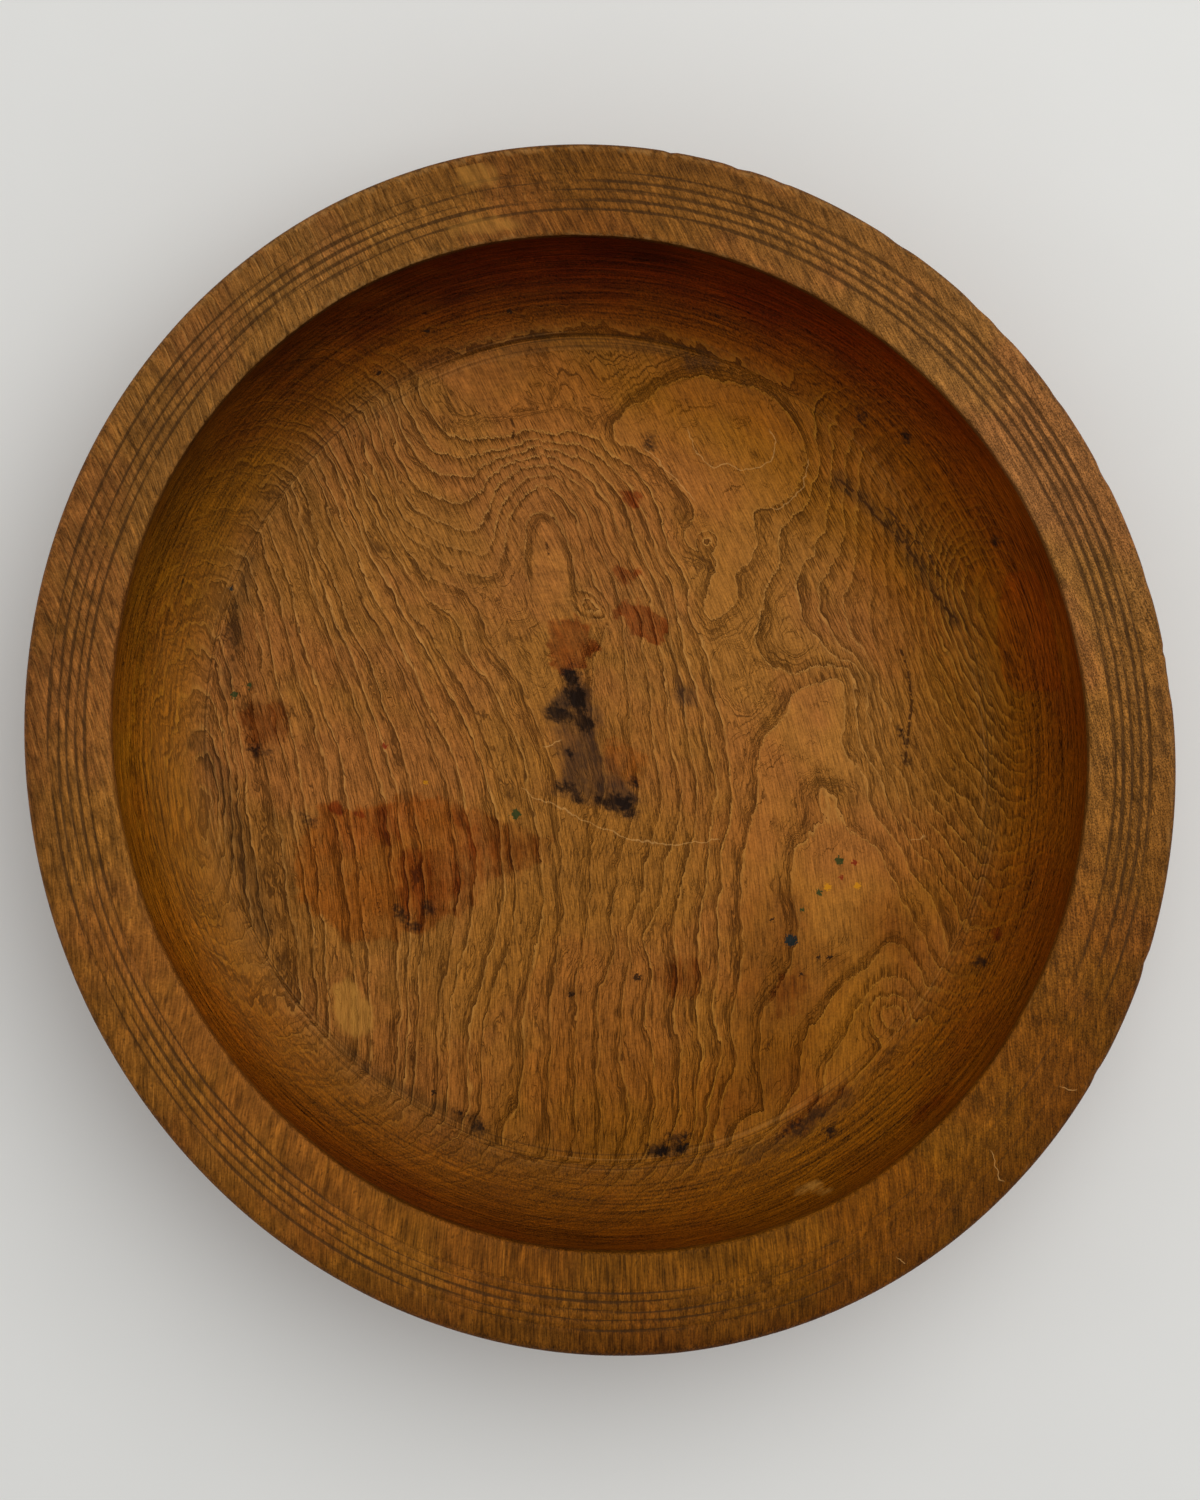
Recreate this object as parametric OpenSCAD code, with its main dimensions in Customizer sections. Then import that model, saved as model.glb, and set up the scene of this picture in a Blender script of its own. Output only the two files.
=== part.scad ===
// Dough bowl: one wide-rimmed bowl turned from a single block of wood.
// It lies on its flat foot with its mouth up. Z is the turning axis and the
// origin is the centre of the foot's underside. The wood has shrunk across
// the grain since it was turned, so the bowl is narrower along X, across the
// grain, than along Y, which follows the grain.

/* [Outline] */
// Outside width, across the grain
bowl_across = 550; // [500:1:620]
// Outside length, along the grain
bowl_along = 585; // [500:1:660]
// Height from the foot to the face of the rim
bowl_height = 105; // [95:1:130]
// Width of the flat foot, across the grain
foot_across = 330; // [270:1:360]
// Slope of the outside where it leaves the foot, in degrees
foot_slope = 12; // [6:1:20]

/* [Rim] */
// Width of the rim's face, from its outer edge to the lip
rim_width = 42; // [36:1:56]
// Thickness of the rim at its outer edge
rim_thickness = 26; // [18:1:36]
// Rounding of the rim's outer edge
edge_rounding = 5; // [2:0.5:8]
// Rounding of the lip round the mouth
lip_rounding = 2; // [1.5:0.5:6]

/* [Rings turned into the rim] */
// Number of rings
ring_count = 5; // [1:1:6]
// Distance from one ring to the next
ring_pitch = 4.3; // [3:0.1:5]
// Width of one ring
ring_width = 2.6; // [1.2:0.1:2.8]
// Depth of one ring
ring_depth = 0.7; // [0.3:0.1:1.2]

/* [Hollow] */
// Depth from the rim's face to the foot of the wall
wall_depth = 78; // [70:1:86]
// Further depth of the floor at its centre
floor_dish = 3; // [1:0.5:6]
// Radius of the cove that the wall is cut to
cove_radius = 60; // [56:1:75]
// Depth from the rim's face to the widest part of the cove
cove_drop = 22; // [16:1:28]
// How far the cove runs in under the lip
undercut = 1.5; // [0.5:0.5:3]

/* [Hidden] */

// How far a cut runs past the face that it opens
overrun = 1;

// Waste left under the foot until the oval bowl is planed flat there
planing = 2;

// Radii across the grain, before the oval is drawn out
rim_radius = bowl_across / 2;
foot_radius = foot_across / 2;
mouth_radius = rim_radius - rim_width;
ring_middle = rim_radius - rim_width / 2;

// The rim's lower edge, where the belly ends
edge_bottom = bowl_height - rim_thickness;

// The belly is one arc from the foot's edge to the rim's lower edge
belly_reach = rim_radius - foot_radius;
belly_chord = norm([belly_reach, edge_bottom]);
belly_radius = belly_chord / 2 / sin(atan2(edge_bottom, belly_reach) - foot_slope);
belly_centre = [
    foot_radius - belly_radius * sin(foot_slope),
    belly_radius * cos(foot_slope)
];

// The cove of the wall, and the crease where it meets the floor
cove_centre = [mouth_radius + undercut - cove_radius, bowl_height - cove_drop];
crease_height = bowl_height - wall_depth;
crease_radius = cove_centre.x
    + sqrt(pow(cove_radius, 2) - pow(cove_centre.y - crease_height, 2));

// The floor is a very shallow dish from the crease to the axis
dish_radius = (pow(crease_radius, 2) + pow(floor_dish, 2)) / (2 * floor_dish);

// The round tool that cuts each ring
ring_tool = (pow(ring_width / 2, 2) + pow(ring_depth, 2)) / (2 * ring_depth);

// A full turn and a quarter of it, in degrees
full_turn = 360;
quarter = full_turn / 4;

// Facets of the drawn curves
turning_facets = 180;
arc_facets = 120;
dish_facets = 1440;
ring_facets = 32;

// Half section of the block, turned outside but not yet hollowed
module turned_outside() {
    translate([0, -planing]) square([foot_radius, bowl_height + planing]);
    intersection() {
        translate(belly_centre) circle(r = belly_radius, $fn = arc_facets);
        square([rim_radius, edge_bottom]);
    }
    translate([0, edge_bottom]) square([rim_radius, rim_thickness]);
}

// Half section of the hollow: the mouth, the coved wall and the dished floor
module hollow() {
    intersection() {
        union() {
            square([cove_centre.x, bowl_height + overrun]);
            translate(cove_centre) circle(r = cove_radius, $fn = arc_facets);
            translate([0, cove_centre.y]) square([mouth_radius, cove_drop + overrun]);
        }
        translate([0, crease_height - floor_dish + dish_radius])
            circle(r = dish_radius, $fn = dish_facets);
    }
}

// Waste outside a rounded corner at the origin, with the wood towards -X and -Y
module corner_waste(rounding) {
    translate([-rounding, -rounding]) difference() {
        square(rounding + overrun);
        circle(r = rounding, $fn = arc_facets);
    }
}

// Sections of the rings, side by side round the middle of the rim
module rings() {
    first = ring_middle - (ring_count - 1) / 2 * ring_pitch;
    for (ring = [0 : ring_count - 1])
        translate([first + ring * ring_pitch, bowl_height - ring_depth + ring_tool])
            circle(r = ring_tool, $fn = ring_facets);
}

// Finished half section of the bowl
module section() {
    difference() {
        turned_outside();
        hollow();
        translate([rim_radius, bowl_height]) corner_waste(edge_rounding);
        translate([mouth_radius, bowl_height]) mirror([1, 0]) corner_waste(lip_rounding);
        rings();
    }
}

// Everything that is planed off under the foot
module foot_waste() {
    translate([-bowl_across / 2, -bowl_along / 2, -planing - overrun])
        cube([bowl_across, bowl_along, planing + overrun]);
}

// The bowl, turned in quarters, drawn to the oval that it shrank to and planed flat underneath
module bowl() {
    color("peru") difference() {
        scale([1, bowl_along / bowl_across, 1])
            for (turn = [0 : quarter : full_turn - quarter])
                rotate(turn) rotate_extrude(angle = quarter, $fn = turning_facets) section();
        foot_waste();
    }
}

bowl();
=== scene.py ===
"""Looks of a dough bowl turned from one block of wood: its figure, wear and stains, light and camera."""

import logging
import math
from dataclasses import dataclass
from enum import Enum, IntEnum

import bpy
import numpy as np
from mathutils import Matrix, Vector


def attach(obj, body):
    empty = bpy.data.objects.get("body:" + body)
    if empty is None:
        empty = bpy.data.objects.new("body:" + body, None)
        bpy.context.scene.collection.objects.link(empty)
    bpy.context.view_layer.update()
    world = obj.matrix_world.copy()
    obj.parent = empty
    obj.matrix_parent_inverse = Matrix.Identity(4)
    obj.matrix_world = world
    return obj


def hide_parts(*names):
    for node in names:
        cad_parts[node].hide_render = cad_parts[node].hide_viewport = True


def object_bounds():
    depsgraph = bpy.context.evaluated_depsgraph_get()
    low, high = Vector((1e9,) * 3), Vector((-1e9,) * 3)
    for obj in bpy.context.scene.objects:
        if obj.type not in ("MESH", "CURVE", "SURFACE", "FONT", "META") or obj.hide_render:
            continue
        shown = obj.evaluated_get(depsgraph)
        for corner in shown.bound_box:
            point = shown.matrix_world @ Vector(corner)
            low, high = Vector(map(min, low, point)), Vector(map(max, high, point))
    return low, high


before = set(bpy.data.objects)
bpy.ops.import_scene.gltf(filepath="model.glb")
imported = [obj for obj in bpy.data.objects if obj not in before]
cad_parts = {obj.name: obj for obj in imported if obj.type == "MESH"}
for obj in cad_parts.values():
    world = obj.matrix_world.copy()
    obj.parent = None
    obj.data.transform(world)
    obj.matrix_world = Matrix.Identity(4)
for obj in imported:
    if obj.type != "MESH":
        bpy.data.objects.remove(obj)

LOG = logging.getLogger("dough_bowl")
MM = 0.001
TINY = 1e-9
FULL_TURN = 2 * math.pi
CAD_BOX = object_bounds()

Array = np.ndarray
Colour = tuple[float, float, float]
Band = tuple[float, float]
Pixel = tuple[float, float]
PixelPath = tuple[Pixel, ...]


def tone(red: int, green: int, blue: int) -> Colour:
    """Turn a colour in screen values, 0 to 255, into the linear one that shaders take.

    Args:
        red: Red on the screen.
        green: Green on the screen.
        blue: Blue on the screen.

    Returns:
        The linear colour.
    """
    darkest, dark_slope, lift, curve = 0.04045, 12.92, 0.055, 2.4
    screen = np.array((red, green, blue)) / 255
    linear = np.where(screen < darkest, screen / dark_slope, ((screen + lift) / (1 + lift)) ** curve)
    return tuple(float(part) for part in linear)


@dataclass(frozen=True)
class Fade:
    """A share that goes evenly from 0 at one value, such as a pixel, to 1 at another."""

    none: float
    full: float

    def __call__(self, values: Array) -> Array:
        """Read the share at values."""
        return np.clip((values - self.none) / (self.full - self.none), 0, 1)


@dataclass(frozen=True)
class Course:
    """A share that changes with a length: its values at lengths in millimetres."""

    at: tuple[float, ...]
    values: tuple[float, ...]

    def __call__(self, lengths: Array) -> Array:
        """Read the share at lengths in metres."""
        return np.interp(lengths / MM, self.at, self.values)


@dataclass(frozen=True)
class Wave:
    """A wave over some value: its height, how fast it comes round and where it starts, in radians."""

    height: float
    rate: float
    start: float

    def __call__(self, values: Array) -> Array:
        """Read the wave at values."""
        return self.height * np.sin(values * self.rate + self.start)


@dataclass(frozen=True)
class Around:
    """Values at even steps round the bowl, from the right of the photograph and turning to the left."""

    values: tuple[float, ...]

    def __call__(self, seen_turn: Array) -> Array:
        """Read the value at angles in the photograph, in radians."""
        steps = (seen_turn / FULL_TURN % 1) * len(self.values)
        return np.interp(steps, np.arange(len(self.values) + 1), (*self.values, self.values[0]))


@dataclass(frozen=True)
class Sight:
    """The photograph's view: straight down the turning axis, with the grain leaning to the left."""

    frame_width: int = 1200
    axis_pixel: Pixel = (600.1, 749.4)
    pixel_at_rim: float = 0.479 * MM
    inside_stretch: float = 1.05
    distance: float = 1.6
    lean: float = math.radians(17.16)
    rim_height: float = CAD_BOX[1].z
    film_width: float = 36.0
    farthest: float = 50.0

    def pixel_inside(self) -> float:
        """Give the size of a pixel on the inside of the bowl, in millimetres."""
        return self.pixel_at_rim * self.inside_stretch / MM

    def pixels(self, places: Array) -> Array:
        """Find the pixels at which points of the bowl are seen.

        Args:
            places: One point a row, in metres.

        Returns:
            One pixel a row, to the right and down.
        """
        spread = self.distance / (self.distance + self.rim_height - places[:, 2]) / self.pixel_at_rim
        right = places[:, 0] * math.cos(self.lean) - places[:, 1] * math.sin(self.lean)
        up = places[:, 0] * math.sin(self.lean) + places[:, 1] * math.cos(self.lean)
        return np.stack((self.axis_pixel[0] + right * spread, self.axis_pixel[1] - up * spread), axis=1)

    def camera(self) -> bpy.types.Object:
        """Make the camera that sees the bowl as the photograph does.

        Returns:
            The camera.
        """
        lens = bpy.data.cameras.new("camera")
        lens.sensor_fit = "HORIZONTAL"
        lens.sensor_width = self.film_width
        lens.lens = self.film_width * self.distance / (self.pixel_at_rim * self.frame_width)
        lens.clip_end = self.farthest
        stand = bpy.data.objects.new("camera", lens)
        stand.location = (0, 0, self.rim_height + self.distance)
        stand.rotation_euler = (0, 0, -self.lean)
        bpy.context.collection.objects.link(stand)
        return stand


@dataclass(frozen=True)
class GrowthLine:
    """One growth line of the wood: its ring number and pixels that it passes through."""

    ring: float
    through: PixelPath


LEFT_OF_FLOOR = (
    GrowthLine(14, ((232, 680), (240, 740), (250, 810), (260, 880), (272, 940))),
    GrowthLine(12, ((250, 610), (262, 680), (282, 765), (298, 860), (310, 960))),
    GrowthLine(10, ((270, 570), (290, 650), (318, 745), (340, 860), (352, 970))),
    GrowthLine(8, ((290, 530), (318, 620), (352, 720), (378, 820), (390, 920), (392, 1040))),
    GrowthLine(6, ((308, 490), (335, 570), (375, 660), (408, 745), (428, 840), (432, 930), (424, 1010),
        (418, 1100))),
    GrowthLine(4, ((330, 490), (358, 555), (395, 630), (436, 715), (465, 790), (478, 880), (462, 965),
        (450, 1030), (446, 1110))),
    GrowthLine(3, ((342, 490), (372, 558), (412, 630), (452, 705), (482, 780), (500, 860), (490, 945),
        (470, 1005), (465, 1100))),
    GrowthLine(2, ((350, 480), (385, 555), (430, 628), (470, 690), (497, 755), (517, 840), (519, 920),
        (500, 990), (485, 1040), (481, 1115))),
    GrowthLine(1, ((358, 475), (392, 548), (432, 605), (465, 650), (500, 710), (524, 775), (538, 850),
        (536, 940), (522, 1040), (519, 1090), (500, 1130))),
    GrowthLine(0, ((364, 470), (388, 525), (420, 570), (442, 583), (464, 587), (480, 612), (502, 655),
        (524, 695), (545, 745), (557, 810), (560, 880), (556, 960), (552, 1050), (550, 1140))),
)

EYE_AND_ARCHES = (
    GrowthLine(0, ((540, 512), (528, 545), (527, 575), (534, 600), (556, 602), (575, 585), (570, 550),
        (558, 522))),
    GrowthLine(0.6, ((550, 557),)),
    GrowthLine(-1, ((368, 455), (396, 525), (425, 548), (450, 566), (478, 576), (494, 604), (501, 560),
        (510, 517), (530, 489), (552, 487), (570, 510), (584, 550), (604, 610), (590, 680), (606, 780),
        (590, 880), (576, 980), (573, 1080), (575, 1140))),
    GrowthLine(-2, ((373, 440), (402, 515), (432, 538), (462, 550), (486, 556), (497, 525), (514, 488),
        (536, 476), (556, 477), (578, 500), (600, 555), (625, 630), (628, 700), (640, 790), (618, 870),
        (612, 950), (596, 1040), (600, 1130))),
    GrowthLine(-3, ((380, 430), (412, 503), (440, 521), (472, 530), (486, 515), (498, 487), (518, 470),
        (540, 465), (562, 471), (588, 498), (612, 550), (640, 625), (650, 700), (660, 790), (646, 880),
        (630, 960), (620, 1050), (625, 1130))),
    GrowthLine(-4, ((388, 420), (418, 488), (446, 498), (468, 501), (482, 487), (500, 469), (522, 458),
        (548, 456), (575, 467), (600, 494), (628, 550), (655, 625), (667, 710), (680, 800), (663, 870),
        (642, 940), (645, 1000), (655, 1080), (650, 1130))),
    GrowthLine(-5, ((396, 412), (424, 466), (448, 474), (472, 474), (490, 462), (515, 452), (548, 448),
        (582, 458), (612, 487), (640, 545), (664, 610), (682, 690), (697, 790), (684, 880), (678, 960),
        (680, 1050), (672, 1130))),
    GrowthLine(-6, ((404, 405), (428, 444), (450, 454), (478, 454), (510, 446), (550, 441), (588, 449),
        (620, 475), (652, 540), (676, 605), (696, 690), (715, 790), (708, 880), (700, 980), (703, 1060),
        (692, 1130))),
    GrowthLine(-7, ((418, 390), (430, 412), (444, 430), (468, 439), (510, 436), (555, 432), (598, 440),
        (632, 467), (662, 520), (688, 585), (712, 690), (730, 780), (722, 880), (716, 980), (720, 1060),
        (708, 1125))),
    GrowthLine(-7.7, ((470, 400), (520, 405), (500, 370), (560, 360), (600, 390), (580, 410))),
)

TOP_ISLAND = (
    GrowthLine(-8, ((616, 438), (640, 452), (662, 470), (682, 488), (694, 512), (686, 543), (716, 560),
        (708, 585), (702, 612), (728, 612), (740, 598), (738, 572), (757, 540), (752, 508), (776, 508),
        (798, 486), (806, 462), (800, 430), (770, 395), (730, 380), (680, 378), (650, 395), (622, 415))),
    GrowthLine(-8.4, ((725, 405), (785, 470), (720, 500), (730, 560))),
    GrowthLine(-8.5, ((690, 432), (740, 430), (780, 444), (742, 462), (694, 448))),
)

RIGHT_ISLAND = (
    GrowthLine(-8, ((842, 679), (820, 683), (800, 688), (784, 716), (764, 735), (757, 775), (754, 812),
        (744, 845), (740, 905), (740, 965), (730, 1020), (726, 1085), (714, 1126))),
    GrowthLine(-8, ((846, 700), (843, 742), (866, 776), (878, 815), (898, 848), (922, 884), (942, 918),
        (950, 950))),
    GrowthLine(-9, ((935, 958), (914, 920), (896, 888), (880, 848), (858, 835), (820, 825), (803, 840),
        (794, 866), (798, 910), (788, 970), (768, 1005), (760, 1060), (762, 1110))),
    GrowthLine(-10, ((930, 990), (914, 958), (894, 944), (870, 964), (842, 986), (822, 1015), (803, 1045),
        (800, 1085), (785, 1110))),
    GrowthLine(-11, ((922, 1000), (900, 975), (872, 988), (858, 1010), (840, 1040), (825, 1075))),
    GrowthLine(-12, ((905, 1015), (890, 1000), (876, 1012), (884, 1030))),
)

RIGHT_OF_FLOOR = (
    GrowthLine(-7, ((818, 440), (815, 480), (800, 508), (778, 532), (780, 562), (762, 600), (756, 640),
        (800, 672), (850, 668), (860, 730), (884, 790), (910, 838), (945, 885))),
    GrowthLine(-6, ((832, 460), (830, 510), (814, 552), (797, 578), (802, 606), (818, 635), (842, 658),
        (866, 690), (876, 750), (905, 812), (950, 870))),
    GrowthLine(-5, ((846, 480), (842, 540), (822, 580), (820, 608), (838, 640), (862, 665), (882, 720),
        (910, 790), (955, 850))),
    GrowthLine(-4, ((858, 500), (856, 560), (846, 600), (858, 640), (880, 690), (905, 760), (950, 825))),
    GrowthLine(-3, ((872, 520), (872, 590), (882, 650), (902, 720), (935, 790), (970, 830))),
    GrowthLine(-2, ((886, 540), (890, 610), (905, 680), (930, 750), (975, 805))),
    GrowthLine(0, ((912, 560), (922, 640), (945, 710), (985, 770))),
    GrowthLine(2, ((935, 575), (948, 640), (970, 700), (1005, 750))),
)


class ThinPlate:
    """A smooth field through chosen values, bent as little as a thin plate would be."""

    unit = 100.0
    slack = 0.003
    batch = 8000

    def __init__(self, lines: tuple[GrowthLine, ...]) -> None:
        """Fit the plate to growth lines.

        Args:
            lines: The lines, each with its ring number.
        """
        points = [pixel for line in lines for pixel in line.through]
        rings = [line.ring for line in lines for _ in line.through]
        self.knots = np.array(points, float) / self.unit
        count = len(points)
        bend = self.kernel(self.knots) + self.slack * np.eye(count)
        flat = np.hstack((np.ones((count, 1)), self.knots))
        system = np.block([[bend, flat], [flat.T, np.zeros((3, 3))]])
        self.weights = np.linalg.solve(system, np.append(rings, (0, 0, 0)))

    def kernel(self, points: Array) -> Array:
        """Work out how each knot bends the plate at each point.

        Args:
            points: One point a row, in plate units.

        Returns:
            One row for a point and one column for a knot.
        """
        apart = ((points[:, None] - self.knots[None]) ** 2).sum(axis=2)
        return apart * np.log(apart + TINY) / 2

    def __call__(self, pixels: Array) -> Array:
        """Read the plate's height.

        Args:
            pixels: One pixel a row.

        Returns:
            The ring number at each pixel.
        """
        heights = []
        for start in range(0, len(pixels), self.batch):
            points = pixels[start:start + self.batch] / self.unit
            flat = np.hstack((np.ones((len(points), 1)), points))
            heights.append(np.hstack((self.kernel(points), flat)) @ self.weights)
        return np.concatenate(heights)


@dataclass(frozen=True)
class Fibres:
    """How the fibres run in the picture: upright low down, and leaning to the left higher up."""

    upright_below: float = 1000.0
    bend: float = 0.00053
    steepest: float = 0.5

    def across(self, pixels: Array) -> Array:
        """Measure how far pixels lie across the fibres.

        Args:
            pixels: One pixel a row.

        Returns:
            The distances, in pixels.
        """
        rise = np.maximum(self.upright_below - pixels[:, 1], 0)
        full = self.steepest / (2 * self.bend)
        curved = np.minimum(rise, full)
        return pixels[:, 0] + self.bend * curved ** 2 + self.steepest * (rise - curved)

    def direction(self, pixels: Array) -> Array:
        """Find the way the fibres run.

        Args:
            pixels: One pixel a row.

        Returns:
            One unit step a row.
        """
        rise = np.maximum(self.upright_below - pixels[:, 1], 0)
        lean = np.minimum(2 * self.bend * rise, self.steepest)
        steps = np.stack((lean, np.ones_like(lean)), axis=1)
        return steps / np.linalg.norm(steps, axis=1, keepdims=True)


@dataclass(frozen=True)
class Knot:
    """A place that the rings close round: its middle and spread in pixels, and its height in rings."""

    centre: Pixel
    spread: Pixel
    height: float


class Growth:
    """The growth rings through the block: their numbers on the inside, the rim and the outside."""

    rings_per_mm_down = -0.2
    rim_ring_width = 8.6
    rim_drop = 0.16
    rim_waves = 1.3
    wave_down = 95
    wave_across = 260
    wave_beat = 210
    beat_start = 1
    good_years = (Wave(0.25, FULL_TURN / 2.37, 0), Wave(0.15, FULL_TURN / 3.9, 1))
    good_year_rings = Fade(0.5, 2.5)
    rim_ovals = (Knot((405, 192), (26, 26), 2.2), Knot((505, 222), (30, 30), 1.6))
    inside_knots = (
        Knot((588, 604), (7, 7), 1.7),
        Knot((600, 611), (6, 6), 1.3),
        Knot((708, 540), (5, 5), 1.4),
        Knot((888, 1013), (11, 11), -1.3),
        Knot((898, 1022), (8, 8), -0.9),
        Knot((539, 386), (9, 9), 0.68),
        Knot((499, 597), (12, 14), 0.25),
        Knot((1026, 660), (24, 80), 5.0),
        Knot((985, 580), (38, 62), 5.0),
        Knot((204, 815), (17, 62), 3.5),
    )

    def __init__(self, fibres: Fibres) -> None:
        """Fit the figure of the floor.

        Args:
            fibres: How the fibres run.
        """
        self.fibres = fibres
        self.floor = ThinPlate(LEFT_OF_FLOOR + EYE_AND_ARCHES + TOP_ISLAND + RIGHT_ISLAND + RIGHT_OF_FLOOR)

    def inside(self, pixels: Array, rise: Array) -> Array:
        """Number the rings on the floor and the wall.

        Args:
            pixels: Pixels of the points.
            rise: Height of the points above the floor, in metres.

        Returns:
            The ring numbers.
        """
        rings = self.floor(pixels) + self.rings_per_mm_down * rise / MM
        return self.bulge(self.uneven(rings), pixels, self.inside_knots)

    def uneven(self, rings: Array) -> Array:
        """Make some rings wide and some narrow, as good and bad years do, on the left of the floor.

        Args:
            rings: The ring numbers so far.

        Returns:
            The uneven ring numbers.
        """
        moved = sum(wave(rings) for wave in self.good_years)
        return rings + moved * self.good_year_rings(rings)

    def outside(self, pixels: Array, drop: Array) -> Array:
        """Number the rings on the rim's face and the outside.

        Args:
            pixels: Pixels of the points.
            drop: Depth of the points below the rim's face, in metres.

        Returns:
            The ring numbers.
        """
        across = self.fibres.across(pixels)
        down = pixels[:, 1]
        swing = np.sin(down / self.wave_down + across / self.wave_across)
        swing = self.rim_waves * swing * np.sin(down / self.wave_beat + self.beat_start)
        rings = across / self.rim_ring_width + swing + self.rim_drop * drop / MM
        return self.bulge(rings, pixels, self.rim_ovals)

    def bulge(self, rings: Array, pixels: Array, knots: tuple[Knot, ...]) -> Array:
        """Push the rings up round knots, so that they close there.

        Args:
            rings: The ring numbers so far.
            pixels: Pixels of the points.
            knots: The knots.

        Returns:
            The ring numbers with the knots.
        """
        for knot in knots:
            apart = (((pixels - np.array(knot.centre)) / np.array(knot.spread)) ** 2).sum(axis=1)
            rings = rings + knot.height * np.exp(-apart / 2)
        return rings


class StainKind(Enum):
    """What left a mark, and so which layer of the finish shows it."""

    RED = "red_stain"
    BROWN = "brown_stain"
    BLACK = "black_stain"
    HAZE = "haze"
    PALE = "pale_patch"
    GRIME = "grime"
    SMOOTH = "smooth_patch"
    AMBER = "amber_patch"
    WASH = "brown_wash"
    DULL = "dull_patch"


@dataclass(frozen=True)
class Stain:
    """A stain, by the pixels round it, or along its middle if it has a width."""

    pixels: PixelPath
    width: float = 0.0

    def distance(self, seen: Array) -> Array:
        """Measure how far points lie outside the stain, less than nothing within it.

        Args:
            seen: Pixels of the points.

        Returns:
            The distances, in pixels.
        """
        ends = np.array(self.pixels, float)
        closed = self.width == 0
        starts = ends if closed else ends[:-1]
        stops = np.roll(ends, -1, axis=0) if closed else ends[1:]
        nearest = np.full(len(seen), np.inf)
        inside = np.zeros(len(seen), bool)
        for start, stop in zip(starts, stops):
            run = stop - start
            share = np.clip(((seen - start) @ run) / (run @ run), 0, 1)
            apart = np.linalg.norm(seen - start - share[:, None] * run, axis=1)
            nearest = np.minimum(nearest, apart)
            spans = (start[1] > seen[:, 1]) != (stop[1] > seen[:, 1])
            crossing = start[0] + (seen[:, 1] - start[1]) * run[0] / (run[1] or TINY)
            inside ^= spans & (seen[:, 0] < crossing)
        return np.where(inside, -nearest, nearest) if closed else nearest - self.width / 2


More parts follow.
